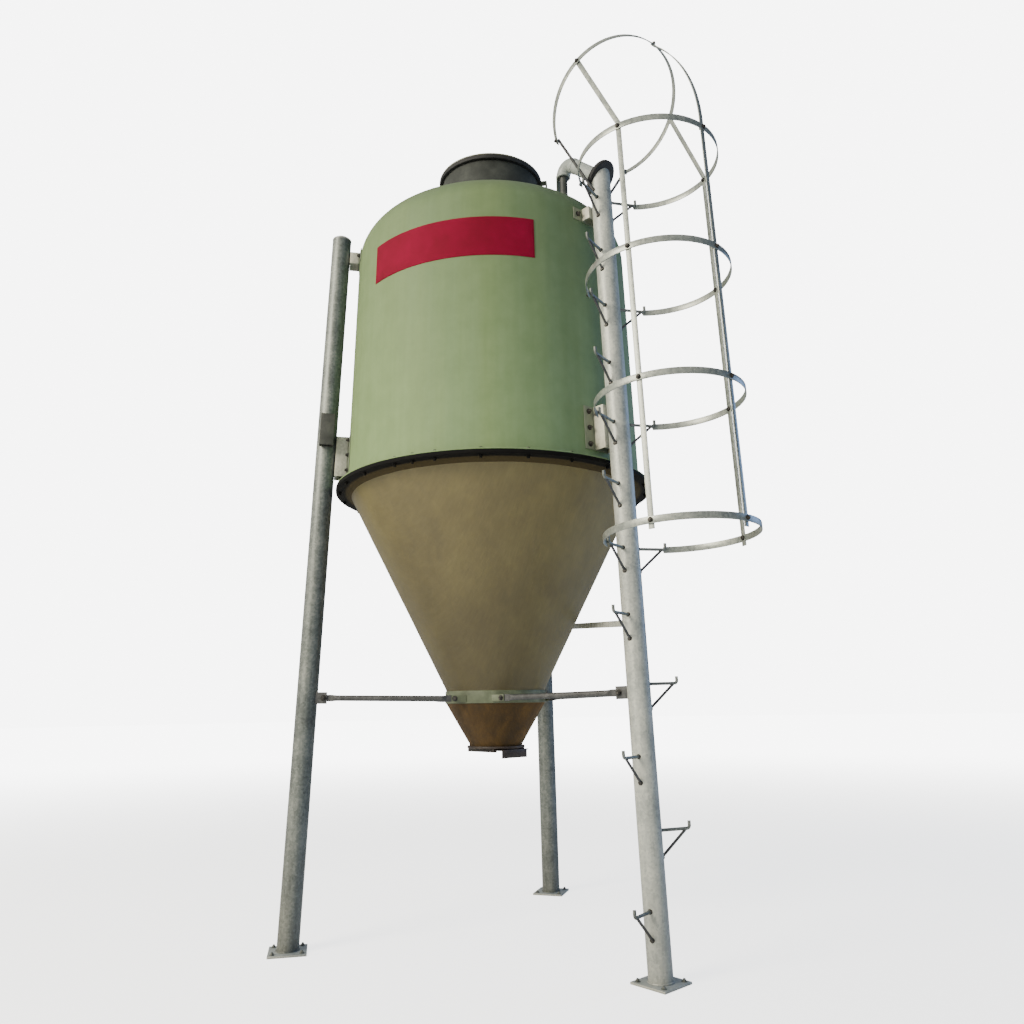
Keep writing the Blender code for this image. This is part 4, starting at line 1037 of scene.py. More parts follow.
def build_outlet(shell):
    low = OUTLET_TOP + GAP
    cone = moulded([
        (OUTLET_RADIUS, low, 0), (OUTLET_RADIUS + 0.004, low + 0.010, 0.004),
        (NECK_RADIUS, COLLAR_FOOT, 0.010), (NECK_RADIUS, NECK_JOINT, 0),
        (NECK_RADIUS - SHELL_WALL, NECK_JOINT, 0), (NECK_RADIUS - SHELL_WALL, COLLAR_FOOT, 0),
        (OUTLET_RADIUS - SHELL_WALL, low, 0),
    ], OUTLET_SIDES)
    piece("lower_cone_shell", "stained", [waved(cone, shell.waviness, length=0.08)], AXIS, "lower_cone")
    ring = moulded([
        (OUTLET_BORE, OUTLET_FLANGE_LOW, 0), (OUTLET_FLANGE_RADIUS, OUTLET_FLANGE_LOW, 0.002),
        (OUTLET_FLANGE_RADIUS, OUTLET_TOP, 0.003), (OUTLET_BORE, OUTLET_TOP, 0),
    ], OUTLET_SIDES)
    piece("outlet_ring", "outlet", [waved(ring, shell.waviness, length=0.05)], AXIS, "outlet_flange")
    dressed("gate_rails", "outlet", "gate_guides", width=0.0012)
    dressed("gate_plate", "outlet", "slide_gate", width=0.0009, body="gate")


# Filling hatch
def build_collar():
    foot = roof_height(COLLAR_RADIUS)
    skirt = COLLAR_RADIUS + 0.016
    ring = moulded([
        (COLLAR_BORE, foot - 0.002, 0), (skirt, roof_height(skirt) - 0.002, 0),
        (COLLAR_RADIUS, foot + 0.016, 0.010), (COLLAR_RADIUS, COLLAR_TOP - GAP, 0.003),
        (COLLAR_BORE, COLLAR_TOP - GAP, 0.002),
    ], HATCH_SIDES)
    root, tip = COLLAR_RADIUS - 0.004, HINGE_REACH + 0.017
    ear = rounded([
        (root, COLLAR_TOP - 0.068, 0.002), (tip, HINGE_HEIGHT - 0.014, 0.010),
        (tip, HINGE_HEIGHT + 0.014, 0.012), (HINGE_REACH - 0.020, HINGE_HEIGHT + 0.014, 0.008),
        (HINGE_REACH - 0.024, COLLAR_TOP - 0.008, 0.004), (root, COLLAR_TOP - 0.008, 0.001),
    ])
    ears = [plate(ear, x, EAR_THICK) for x in EAR_PLACES]
    piece("hatch_ring", "collar", [ring, *ears], HATCH, "hatch_collar")


def build_lid(waviness):
    top = COLLAR_TOP + LID_SEAL
    # The black seal ring under the lid's rim is partly painted shade: it stands for the shade under the lid's
    # edge
    seal = moulded([
        (COLLAR_BORE - 0.008, COLLAR_TOP, 0.002), (LID_RADIUS - 0.001, COLLAR_TOP, 0.003),
        (LID_RADIUS - 0.001, top - GAP, 0.001), (COLLAR_BORE - 0.008, top - GAP, 0.001),
    ], HATCH_SIDES)
    piece("lid_seal", "rubber", [seal], HATCH, body="lid")
    crown = COLLAR_TOP + LID_RIM + LID_CROWN
    # The last point only aims the corner before it
    dish = rounded([
        *[(LID_RADIUS * i / 10, crown - LID_CROWN * (i / 10) ** LID_CROWN_POWER, 0) for i in range(1, 9)],
        (LID_RADIUS - 0.018, COLLAR_TOP + LID_RIM, 0.006), (LID_RADIUS, COLLAR_TOP + LID_RIM - 0.002, 0.006),
        (LID_RADIUS, top, 0.002), (COLLAR_BORE - 0.010, top, 0),
        (COLLAR_BORE - 0.014, COLLAR_TOP + LID_RIM - 0.008, 0.001), (0.02, crown - 0.010, 0),
    ])[:-1]
    moulding = turned([(0, crown), *dish, (0, crown - 0.010)], HATCH_SIDES, closed=False)
    arm = block((-HINGE_HALF_WIDTH, LID_RADIUS - 0.020, COLLAR_TOP + 0.004),
                (HINGE_HALF_WIDTH, HINGE_REACH, HINGE_HEIGHT + 0.008), width=0.002)
    piece("lid", "lid", [waved(moulding, waviness, length=0.12), arm], HATCH, "hatch_lid", body="lid")


def build_lid_fittings():
    """Hinge pin in its barrel, and the latch with its catch and rivets opposite."""
    hinge = [
        rods("zinc", radius, 0.0, [(-reach, HINGE_REACH, HINGE_HEIGHT), (reach, HINGE_REACH, HINGE_HEIGHT)])
        for radius, reach in ((0.010, HINGE_HALF_WIDTH), (HINGE_PIN, 0.048))
    ]
    piece("lid_hinge_pin", "zinc", hinge, HATCH, body="lid")
    strap_top = COLLAR_TOP + 0.014
    latch = block((-LATCH_HALF_WIDTH, -LID_RADIUS - 0.030, COLLAR_TOP + 0.006),
                  (LATCH_HALF_WIDTH, -LID_RADIUS + 0.020, strap_top), width=0.0015)
    catch = block((-LATCH_HALF_WIDTH, -LID_RADIUS - 0.034, COLLAR_TOP - 0.030),
                  (LATCH_HALF_WIDTH, -LID_RADIUS - 0.026, strap_top), width=0.0015)
    rivets = bolts("rivet", [((x, -LID_RADIUS + 0.008, strap_top), UP) for x in (-0.010, 0.010)])
    piece("lid_latch", "pale", [latch, catch, rivets], HATCH, body="lid")


def build_hatch(shell):
    build_collar()
    build_lid(shell.waviness)
    build_lid_fittings()


# Ring band and ties
def tie_frame(side):
    """A tie's hole at the leg and at the ring, its direction, and the direction out of its flat ends."""
    leg_hole = TUBE_RADIUS + LUG_HOLE_REACH - leg_radius(TIE_HEIGHT_LEG)
    leg_end = Vector((side * LUG_HALF_GAP, leg_hole, TIE_HEIGHT_LEG))
    ring_end = around(NECK_RADIUS + GAP + BAND_WALL + LUG_HOLE_REACH, side * TIE_SPREAD, TIE_HEIGHT_RING)
    along = (ring_end - leg_end).normalized()
    return leg_end, ring_end, along, along.cross(UP).normalized() * side


def tie_lug(hole, onward, aside, reach, tall):
    """Flat plate beside a tie bar's end, running on past its hole."""
    centre = hole + aside * (TIE_FLAT[0] + GAP)
    section = flat_section(TIE_FLAT[0], tall)
    ends = [centre - onward * TIE_FLAT[1] / 2, centre + onward * (LUG_HOLE_REACH + reach)]
    return swept(ends, lambda i: section)


def tie_bolt(hole, aside):
    """Head outside the lug and nut outside the tie bar."""
    return [(hole + aside * (TIE_FLAT[0] * 1.5 + GAP), aside), (hole - aside * TIE_FLAT[0] / 2, -aside)]


def build_ring():
    inner = NECK_RADIUS + GAP
    parts = [moulded([
        (inner - 0.001, COLLAR_FOOT, 0), (inner + BAND_WALL, COLLAR_FOOT, 0.0015),
        (inner + BAND_WALL, BAND_TOP - 0.004, 0.003), (inner - 0.001, BAND_TOP, 0),
    ], BAND_SIDES)]
    holes = []
    for angle in BAY_TURNS.values():
        turn = Matrix.Rotation(angle, 4, "Z")
        for side in (-1, 1):
            leg_end, ring_end, along, aside = tie_frame(side)
            parts.append(moved(tie_lug(ring_end, along, aside, reach=0.026, tall=TIE_FLAT[1]), turn))
            holes += [(turn @ place, turn @ axis) for place, axis in tie_bolt(ring_end, aside)]
    piece("neck_band", "ring", parts, AXIS, "ring_band")
    piece("neck_band_bolts", "bolt", [bolts("band", holes)], AXIS)


def flattened(share):
    """Outline between the tie's round middle (0) and its flattened end (1)."""
    outline = []
    # The power squares the circle off
    power = 1 - 0.8 * share
    for j in range(TIE_SIDES):
        a = math.tau * (j + 0.5) / TIE_SIDES
        outline.append(tuple(
            math.copysign(abs(arm) ** power, arm) * (TIE_ROD + (flat / 2 - TIE_ROD) * share)
            for arm, flat in zip((math.cos(a), math.sin(a)), TIE_FLAT)
        ))
    return outline


def build_ties():
    blend_start = TIE_FLAT_LENGTH - TIE_BLEND / 2
    rises = [(-TIE_END, 1.0), (blend_start, 1.0)]
    for k in range(1, TIE_BLEND_STEPS + 1):
        step = k / TIE_BLEND_STEPS
        rises.append((blend_start + TIE_BLEND * step, 0.5 + 0.5 * math.cos(math.pi * step)))
    for name, bay in BAYS.items():
        ends = []
        for side, word in ((-1, "left"), (1, "right")):
            leg_end, ring_end, along, aside = tie_frame(side)
            span = (ring_end - leg_end).length
            stations = rises + [(span - reach, share) for reach, share in reversed(rises)]
            path = [leg_end + along * reach for reach, share in stations]
            bar = swept(path, lambda i: flattened(stations[i][1]))
            piece(f"{name}_tie_{word}", "tie", [bar], bay, f"{name}_tie_bar_{word}")
            ends += tie_bolt(leg_end, aside)
        piece(f"{name}_tie_bolts", "bolt", [bolts("tie", ends)], bay)
    dressed("upper_tie", "zinc", "upper_tie_bar", width=0.001)


# Legs
def leg_tube(top, slant=0.0):
    """Tube with a weld bead round its foot. slant cuts its head at an angle."""
    levels = [FOOT_THICK + (top - FOOT_THICK) * k / TUBE_RINGS for k in range(1, TUBE_RINGS)]
    bm = turned([
        (TUBE_BORE, FOOT_THICK + 0.02), (TUBE_BORE, FOOT_THICK), (TUBE_RADIUS, FOOT_THICK),
        *[(TUBE_RADIUS, z) for z in levels], (TUBE_RADIUS, top), (TUBE_BORE, top),
    ], TUBE_SIDES)
    for vert in bm.verts:
        if vert.co.z > top - 0.0001:
            vert.co.z -= vert.co.y * slant
    round_bead = round_section(FOOT_BEAD, 8)
    outline = [(TUBE_RADIUS + 0.001 + x, FOOT_THICK + 0.001 + y) for x, y in round_bead]
    bead = turned(outline, TUBE_SIDES)
    return [bm, waved(bead, FOOT_BEAD / 2, length=0.012)]


def leg_cap():
    neck = TUBE_BORE - GAP
    brim = TUBE_RADIUS + 0.001
    profile = rounded([
        (neck, LEG_LENGTH - 0.030, 0.002), (neck, LEG_LENGTH + GAP, 0), (brim, LEG_LENGTH + GAP, 0.001),
        (brim, LEG_LENGTH + 0.008, 0.005), (TUBE_RADIUS * 0.75, LEG_LENGTH + 0.0185, 0.012),
        (0.004, LEG_LENGTH + 0.022, 0),
    ])
    return turned([(0, LEG_LENGTH - 0.030), *profile, (0, LEG_LENGTH + 0.022)], TUBE_SIDES, closed=False)


def build_legs():
    for name, place in LEGS.items():
        if name == "front":
            pole = leg_tube(POLE_LENGTH - TUBE_RADIUS, math.tan(MITRE))
            piece("pole_tube", "zinc", pole, place, "climbing_pole")
        else:
            piece(f"{name}_leg_tube", "leg", leg_tube(LEG_LENGTH), place, f"{name}_leg")
            piece(f"{name}_cap", "cap", [leg_cap()], place, f"{name}_leg_cap")
        lugs = []
        for side in (-1, 1):
            leg_end, ring_end, along, aside = tie_frame(side)
            lug = tie_lug(leg_end, -along, aside, reach=0.020, tall=LEG_LUG_HEIGHT)
            lugs.append(moved(lug, LEG_IN_BAY.inverted()))
        piece(f"{name}_tie_lugs", "tie", lugs, place)
        dressed(f"{name}_foot", "zinc", f"{name}_foot_plate", width=0.0015)
        reach = (-FOOT_BOLT_REACH, FOOT_BOLT_REACH)
        corners = [((x, y - LEG_FOOT_RADIUS, FOOT_THICK), UP) for x in reach for y in reach]
        piece(f"{name}_foot_bolts", "leg", [bolts("foot", corners, "leg")], BAYS[name])


def build_steps(steel):
    treads, braces, roots, brace_roots = [], [], [], []
    for levels, side in ((LEFT_STEPS, -1), (RIGHT_STEPS, 1)):
        outward = Vector((side * STEP_ACROSS, -STEP_FORWARD, 0)).normalized()
        for level in levels:
            root = UP * step_height(level)
            low = root - UP * STEP_BRACE_DROP
            tip = root + Vector((side * STEP_ACROSS, -STEP_FORWARD, 0))
            treads.append([outward * TUBE_BORE + root, tip, tip + UP * STEP_TIP_RISE])
            braces.append([outward * TUBE_BORE + low, tip - outward * BRACE_SETBACK - UP * BRACE_SUNK])
            roots.append((outward * WELD_ROOT + root, outward))
            brace_roots.append((outward * WELD_ROOT + low, outward))
    piece("pole_steps", "leg", [rods("leg", STEP_ROD, steel.step_bend, *treads)], CAGE)
    piece("pole_step_braces", "tie", [rods("tie", BRACE_ROD, 0.0, *braces)], CAGE)
    piece("pole_step_welds", "bolt", [welds("step", roots), welds("brace", brace_roots)], CAGE)


# Safety cage
def hoop_path(centre, radius, half_sweep):
    angles = [half_sweep * (2 * k / HOOP_STATIONS - 1) for k in range(HOOP_STATIONS + 1)]
    return [centre + around(radius, a) for a in angles]


def build_cage():
    names = [f"cage_hoop_{level:02d}" for level in HOOP_STEPS]
    hoops = [hoop_path(centre, HOOP_RADIUS, HOOP_HALF_SWEEP) for centre in HOOP_CENTRES]
    piece("cage_hoops", "cage", [flat_bars("cage", HOOP_BAR, 0.0, *hoops)], CAGE, *names)
    top = hoop_path(Vector(), TOP_HOOP_RADIUS, TOP_HOOP_HALF_SWEEP)
    piece("cage_top_hoop", "cage", [flat_bars("cage", HOOP_BAR, 0.0, top)], CAGE @ TOP_HOOP, "cage_hoop_top")

    inner = TOP_HOOP_RADIUS - HOOP_BAR[0] / 2 - GAP - STEP_ROD
    arms, roots, crossings = [], [], []
    for side in (-1, 1):
        end = TOP_HOOP @ around(inner, side * TOP_HOOP_ARM)
        start = Vector((side * TUBE_BORE, 0, TOP_HOOP_ARM_ROOT))
        arms.append([start, end])
        roots.append((Vector((side * WELD_ROOT, 0, TOP_HOOP_ARM_ROOT + 0.003)), end - start))
        outward = TOP_HOOP.to_3x3() @ around(1.0, side * TOP_HOOP_ARM)
        crossings.append((end + outward * (STEP_ROD + HOOP_BAR[0]), outward))
    piece("top_hoop_arms", "tie", [rods("tie", STEP_ROD, 0.0, *arms)], CAGE)
    piece("top_hoop_arm_welds", "bolt", [welds("arm", roots)], CAGE)

    for name in STRAPS:
        crossings += build_strap(name)
    tip_angle = math.pi - math.atan2(STEP_ACROSS, HOOP_OFFSET - STEP_FORWARD)
    for centre in HOOP_CENTRES:
        crossings += [(centre + around(HOOP_OUTER, a), around(1.0, a)) for a in (-tip_angle, tip_angle)]
    piece("cage_bolts", "bolt", [bolts("cage", crossings)], CAGE)


def build_strap(name):
    """One upright strap. Returns the places and axes of its bolts, heads outside and nuts inside."""
    angle, top_angle = STRAPS[name]
    out = around(1.0, angle)
    foot = Vector((0, -HOOP_OFFSET, 0)) + out * (HOOP_INNER - STRAP_INSET)
    low = step_height(HOOP_STEPS[0]) - STRAP_TAIL
    bend = foot + UP * (step_height(HOOP_STEPS[-1]) + HOOP_BAR[1] / 2 + 0.006)
    head = TOP_HOOP @ around(TOP_HOOP_RADIUS - HOOP_BAR[0] / 2 - STRAP_INSET - 0.001, top_angle)
    points = [foot + UP * low, bend]
    if name == "middle":
        # It leans back to the top hoop in one arc
        chord = head - bend
        inward = -chord.dot(out)
        turn = 2 * math.atan2(inward, chord.z)
        radius = chord.length / (2 * math.sin(turn / 2))
        for i in range(1, STRAP_ARC_STEPS):
            part = turn * i / STRAP_ARC_STEPS
            share = math.sin(part) / math.sin(turn)
            points.append(bend + (chord + out * inward) * share - out * radius * (1 - math.cos(part)))
    points.append(head)
    section = flat_section(STRAP_BAR[1], STRAP_BAR[0])
    piece(f"strap_{name}", "cage", [swept(points, lambda i: section, out)], CAGE, f"cage_strap_{name}")
    places = []
    for centre in HOOP_CENTRES:
        places.append((centre + around(HOOP_OUTER, angle), out))
        places.append((centre + around(HOOP_INNER - STRAP_INSET - STRAP_BAR[0] / 2, angle), -out))
    outward = TOP_HOOP.to_3x3() @ around(1.0, top_angle)
    places.append((TOP_HOOP @ around(TOP_HOOP_RADIUS + HOOP_BAR[0] / 2, top_angle), outward))
    return places


# Brackets and pocket
def build_brackets():
    for name, bay in BAYS.items():
        for level, (low, high, rows) in BRACKETS.items():
            dressed(f"{name}_{level}_mount", "pale", f"{name}_{level}_bracket", width=0.0012)
            heads = []
            for z in [low + (high - low) * share for share in rows]:
                for a in (-BRACKET_BOLT_ANGLE, BRACKET_BOLT_ANGLE):
                    heads.append((around(wall_radius(z) + BRACKET_PLATE, a, z), around(1.0, a)))
            piece(f"{name}_{level}_mount_bolts", "bolt", [bolts("bracket", heads)], bay)
    dressed("leg_pocket_box", "enamel", "leg_pocket", width=0.002)


# Vent
def vent_arc(start, rise):
    """Bend that turns the pipe from its rise off the pole's head to straight down."""
    turn = math.pi / 2 + math.atan2(rise.z, rise.y)
    middle_y = -VENT_REACH - VENT_BEND
    reach = (middle_y - VENT_BEND * math.sin(turn - math.pi / 2) - start.y) / rise.y
    middle = Vector((0, middle_y, (start + rise * reach).z - VENT_BEND * math.cos(turn - math.pi / 2)))
    angles = [turn * (1 - i / VENT_BEND_STEPS) for i in range(VENT_BEND_STEPS + 1)]
    return [middle + Vector((0, VENT_BEND * math.cos(a), VENT_BEND * math.sin(a))) for a in angles]


def build_drop_pipe(top):
    foot = roof_height(VENT_REACH)
    bore, mouth = VENT_DROP_RADIUS - 0.003, VENT_RADIUS - 0.001
    drop = moulded([
        (bore, foot - 0.010, 0), (VENT_DROP_RADIUS + 0.014, foot - 0.006, 0.002),
        (VENT_DROP_RADIUS, foot + 0.010, 0.004), (VENT_DROP_RADIUS, top - 0.012, 0.004),
        (mouth, top - 0.008, 0.003), (mouth, top, 0), (bore, top, 0),
    ], VENT_SIDES)
    piece("vent_drop", "drop", [moved(drop, Matrix.Translation((0, -VENT_REACH, 0)))], AXIS)


def build_vent_strip(top):
    near = VENT_REACH - VENT_RADIUS - STRIP_BAR[0] / 2 - GAP
    lift = STRIP_BAR[0] / 2 + GAP
    path = [
        (-near, top + VENT_RADIUS / 2, 0), (-near, roof_height(near) + lift, 0),
        (-STRIP_REACH, roof_height(STRIP_REACH) + lift, 0),
    ]
    side_view = Matrix(((0, 0, 1, 0), (1, 0, 0, 0), (0, 1, 0, 0), (0, 0, 0, 1)))
    strip = flat_bars("pale", STRIP_BAR, STRIP_BEND, path)
    piece("vent_brace", "pale", [strip], AXIS @ side_view, "vent_strip")


def build_vent():
    head = LEGS["front"] @ MITRE_PLANE
    rise = head.to_3x3() @ UP
    start = AXIS.inverted() @ head.translation
    arc = vent_arc(start, rise)
    across = Vector((1, 0, 0))
    tube = round_section(VENT_RADIUS, VENT_SIDES)
    wide = round_section(VENT_RADIUS + 0.0025, VENT_SIDES)
    pipe = swept([start + rise * GAP, *arc, arc[-1] - UP * 0.010], lambda i: tube, across)
    socket = swept([arc[0] - rise * 0.030, arc[0] - rise * 0.002], lambda i: wide, across)
    parts = [softened(pipe, width=0.002), softened(socket, width=0.0012)]
    piece("vent_pipe_bend", "pipe", parts, AXIS, "vent_pipe")
    build_drop_pipe(arc[-1].z)
    piece("pole_head_sleeve", "rubber", [oval_sleeve()], head, "pole_sleeve")
    build_vent_strip(arc[-1].z)


def oval_sleeve():
    """Rubber sleeve over the pole's slanted head: a round bore in an oval outline."""
    bore = VENT_RADIUS + 0.0006
    across = TUBE_RADIUS + SLEEVE_MARGIN - bore
    along = TUBE_RADIUS / math.cos(MITRE) + SLEEVE_MARGIN - bore
    sleeve = moulded([
        (1.0, -SLEEVE_BELOW, 0.004), (1.0 + across, -SLEEVE_BELOW, 0.005),
        (1.0 + across, SLEEVE_ABOVE, 0.008), (1.0, SLEEVE_ABOVE, 0.004),
    ], TUBE_SIDES)
    for vert in sleeve.verts:
        direction = Vector((vert.co.x, vert.co.y)).normalized()
        share = (math.hypot(vert.co.x, vert.co.y) - 1.0) / across
        vert.co.x = direction.x * (bore + across * share)
        vert.co.y = direction.y * (bore + along * share)
    return sleeve


# Panel
def build_panel():
    bm = bmesh.new()
    skins = []
    for proud in (PANEL_SUNK, PANEL_PROUD):
        grid = {}
        for i in range(PANEL_COLUMNS + 1):
            a = PANEL_ANGLES[0] + (PANEL_ANGLES[1] - PANEL_ANGLES[0]) * i / PANEL_COLUMNS
            for j in range(PANEL_ROWS + 1):
                z = PANEL_HEIGHTS[0] + (PANEL_HEIGHTS[1] - PANEL_HEIGHTS[0]) * j / PANEL_ROWS
                grid[i, j] = bm.verts.new(around(wall_radius(z) + proud, a, z))
        for i in range(PANEL_COLUMNS):
            for j in range(PANEL_ROWS):
                bm.faces.new((grid[i, j], grid[i + 1, j], grid[i + 1, j + 1], grid[i, j + 1]))
        skins.append(grid)
    inner, outer = skins
    edge = [(i, 0) for i in range(PANEL_COLUMNS)] + [(PANEL_COLUMNS, j) for j in range(PANEL_ROWS)]
    edge += [(i, PANEL_ROWS) for i in range(PANEL_COLUMNS, 0, -1)]
    edge += [(0, j) for j in range(PANEL_ROWS, 0, -1)]
    for here, following in zip(edge, edge[1:] + edge[:1]):
        bm.faces.new((inner[here], inner[following], outer[following], outer[here]))
    bmesh.ops.recalc_face_normals(bm, faces=bm.faces)
    piece("red_panel", "red", [softened(bm, width=0.0008)], AXIS)


# Flange bolts
def build_flange_bolts(shell):
    angles = [math.tau * k / shell.flange_bolts for k in range(shell.flange_bolts)] + [ODD_FLANGE_BOLT]
    heads = [(around(FLANGE_BOLT_RADIUS, a, BODY_FLANGE_TOP - GAP), UP) for a in angles]
    nuts = [(around(FLANGE_BOLT_RADIUS, a, CONE_FLANGE_LOW + GAP), -UP) for a in angles]
    piece("flange_bolts", "bolt", [bolts("flange", heads)], AXIS)
    # The nuts under the flange take the same nearly black coat, partly painted shade
    piece("flange_nuts", "rim", [bolts("flange nut", nuts, "rim")], AXIS)


# Stage
def build_camera():
    forward = Vector((
        math.sin(CAMERA_YAW) * math.cos(CAMERA_PITCH), math.cos(CAMERA_YAW) * math.cos(CAMERA_PITCH),
        math.sin(CAMERA_PITCH),
    ))
    level = Vector((math.cos(CAMERA_YAW), -math.sin(CAMERA_YAW), 0))
    upward = level.cross(forward)
    right = from_photo(level * math.cos(CAMERA_ROLL) + upward * math.sin(CAMERA_ROLL))
    top = from_photo(upward * math.cos(CAMERA_ROLL) - level * math.sin(CAMERA_ROLL))
    data = bpy.data.cameras.new("camera")
    data.sensor_width = SENSOR_MM
    data.lens = CAMERA_FOCAL_PIXELS / IMAGE_PIXELS * SENSOR_MM
    camera = bpy.data.objects.new("camera", data)
    turn = Matrix((right, top, -from_photo(forward))).transposed().to_4x4()
    camera.matrix_world = Matrix.Translation(AXIS @ from_photo(CAMERA_PLACE)) @ turn
    bpy.context.scene.collection.objects.link(camera)
    bpy.context.scene.camera = camera


def build_light(name, place, size, power, colour):
    data = bpy.data.lights.new(name, "AREA")
    data.shape = "DISK"
    data.size = size
    data.energy = power
    data.color = linear(colour)[:3]
    light = bpy.data.objects.new(name, data)
    light.location = AXIS @ from_photo(place)
    light.rotation_euler = (light.location - AXIS @ (UP * LIGHT_AIM)).to_track_quat("Z", "Y").to_euler()
    bpy.context.scene.collection.objects.link(light)


def floor_paper(stage):
    """Pale studio paper, lit for the camera alone, more so far out, where it meets the backdrop."""
    paper, tree, shader, place = surface("pale_floor", ior=1.45)
    grain = add(tree, "ShaderNodeTexNoise", {"Vector": place, "Scale": 0.8, "Detail": 3.0})
    away = add(tree, "ShaderNodeVectorMath", {0: place}, operation="LENGTH")
    glow = add(tree, "ShaderNodeMapRange", {
        "Value": away, "From Min": 3.0, "From Max": 16.0,
        "To Min": stage.floor_glow, "To Max": stage.backdrop,
    }, interpolation_type="SMOOTHSTEP")
    seen = add(tree, "ShaderNodeLightPath").outputs["Is Camera Ray"]
    tone = add(tree, "ShaderNodeValToRGB", {"Fac": grain}, stops=((0.3, "#F2F2F1"), (0.7, "#F6F6F5")))
    plug(tree, shader, {
        "Base Color": tone,
        "Roughness": 0.9,
        "Emission Color": linear("#FFFFFF"),
        "Emission Strength": add(tree, "ShaderNodeMath", {0: glow, 1: seen}, operation="MULTIPLY"),
    })
    return paper


def studio_sky(stage):
    """Soft light that is warmer and brighter from one side, behind a white backdrop for the camera."""
    world = bpy.data.worlds.new("soft_studio")
    world.use_nodes = True
    tree = world.node_tree
    direction = add(tree, "ShaderNodeTexCoord").outputs["Generated"]
    bright_side = from_photo((-0.85, -0.10, 0.50)).normalized()
    facing = add(tree, "ShaderNodeVectorMath", {0: direction, 1: bright_side}, operation="DOT_PRODUCT")
    level = add(tree, "ShaderNodeMapRange", {
        "Value": facing, "From Min": -0.7, "From Max": 0.9, "To Min": stage.sky_low, "To Max": stage.sky,
    }, interpolation_type="SMOOTHSTEP")
    tint = add(tree, "ShaderNodeMix", {
        "Factor": level, "A": linear("#BED0EA"), "B": linear("#FBFAF0"),
    }, **MIXED)
    sky = tree.nodes["Background"]
    plug(tree, sky, {"Color": tint, "Strength": level})
    backdrop = add(tree, "ShaderNodeBackground", {"Color": linear("#FFFFFF"), "Strength": stage.backdrop})
    seen = add(tree, "ShaderNodeLightPath").outputs["Is Camera Ray"]
    plug(tree, tree.nodes["World Output"], {
        "Surface": add(tree, "ShaderNodeMixShader", {0: seen, 1: sky, 2: backdrop}),
    })
    return world


def build_stage(stage):
    build_camera()
    bm = bmesh.new()
    bmesh.ops.create_circle(bm, cap_ends=True, segments=96, radius=stage.floor_radius)
    mesh = bpy.data.meshes.new("floor")
    bm.to_mesh(mesh)
    bm.free()
    floor = bpy.data.objects.new("floor", mesh)
    bpy.context.scene.collection.objects.link(floor)
    mesh.materials.append(floor_paper(stage))
    bpy.context.scene.world = studio_sky(stage)
    build_light("key", (-6.2, -4.6, 5.8), size=3.5, power=stage.key, colour="#FFF5E2")
    build_light("fill", (6.0, 1.0, 3.5), size=3.0, power=stage.fill, colour="#A4C6FF")


# Settings
class SiloShellSettings(bpy.types.PropertyGroup):
    cool_green: FloatVectorProperty(name="Cool green", description="Blue-green bands of the gelcoat",
                                    subtype="COLOR", default=linear("#6D8C6E")[:3], min=0.0, max=1.0)
    green: FloatVectorProperty(name="Green", description="Main green of the gelcoat",
                               subtype="COLOR", default=linear("#77926C")[:3], min=0.0, max=1.0)
    warm_green: FloatVectorProperty(name="Warm green", description="Yellow-green bands of the gelcoat",
                                    subtype="COLOR", default=linear("#849C68")[:3], min=0.0, max=1.0)
    deep_resin: FloatVectorProperty(name="Deep resin", description="Darkest patches of the cone",
                                    subtype="COLOR", default=linear("#5B5335")[:3], min=0.0, max=1.0)
    light_resin: FloatVectorProperty(name="Light resin", description="Lightest patches of the cone",
                                     subtype="COLOR", default=linear("#736A42")[:3], min=0.0, max=1.0)
    waviness: FloatProperty(name="Waviness", description="Depth of the laminate's waves", default=0.0006,
                            min=0.0, unit="LENGTH", precision=5)
    flange_bolts: IntProperty(name="Flange bolts", description="Bolts round the joint flange",
                              default=24, min=6)


class SiloSteelSettings(bpy.types.PropertyGroup):
    step_bend: FloatProperty(name="Step bend", description="Radius of the steps' bend", default=0.012,
                             min=0.0, unit="LENGTH")


class SiloStageSettings(bpy.types.PropertyGroup):
    floor_radius: FloatProperty(name="Floor radius", description="Radius of the floor", default=60.0,
                                min=5.0, unit="LENGTH")
    sky: FloatProperty(name="Bright side", description="Soft light from the bright side",
                       default=0.85, min=0.0)
    sky_low: FloatProperty(name="Dark side", description="Soft light from the dark side",
                           default=0.21, min=0.0)
    backdrop: FloatProperty(name="Backdrop", description="Brightness of the backdrop", default=7.0, min=0.0)
    floor_glow: FloatProperty(name="Floor", description="Brightness of the floor near the silo",
                              default=2.4, min=0.0)
    key: FloatProperty(name="Key light", description="Power of the key light", default=760.0,
                       min=0.0, unit="POWER")
    fill: FloatProperty(name="Fill light", description="Power of the fill light", default=100.0,
                        min=0.0, unit="POWER")


# Operators
class SILO_OT_bell(bpy.types.Operator):
    """Make the green bell with its flange and domed roof"""
    bl_idname = "silo.bell"
    bl_label = "Bell"

    def execute(self, context):
        build_bell(context.scene.silo_shell)
        return {"FINISHED"}


class SILO_OT_cone(bpy.types.Operator):
    """Make the bare laminate cone and the black joint rim"""
    bl_idname = "silo.cone"
    bl_label = "Cone"

    def execute(self, context):
        build_cone(context.scene.silo_shell)
        return {"FINISHED"}


class SILO_OT_outlet(bpy.types.Operator):
    """Make the lower cone, the outlet flange and the slide gate"""
    bl_idname = "silo.outlet"
    bl_label = "Outlet"

    def execute(self, context):
        build_outlet(context.scene.silo_shell)
        return {"FINISHED"}


class SILO_OT_hatch(bpy.types.Operator):
    """Make the filling hatch with its lid, hinge and latch"""
    bl_idname = "silo.hatch"
    bl_label = "Hatch"

    def execute(self, context):
        build_hatch(context.scene.silo_shell)
        return {"FINISHED"}


class SILO_OT_ring(bpy.types.Operator):
    """Make the steel band round the neck with its lugs"""
    bl_idname = "silo.ring"
    bl_label = "Ring band"

    def execute(self, context):
        build_ring()
        return {"FINISHED"}


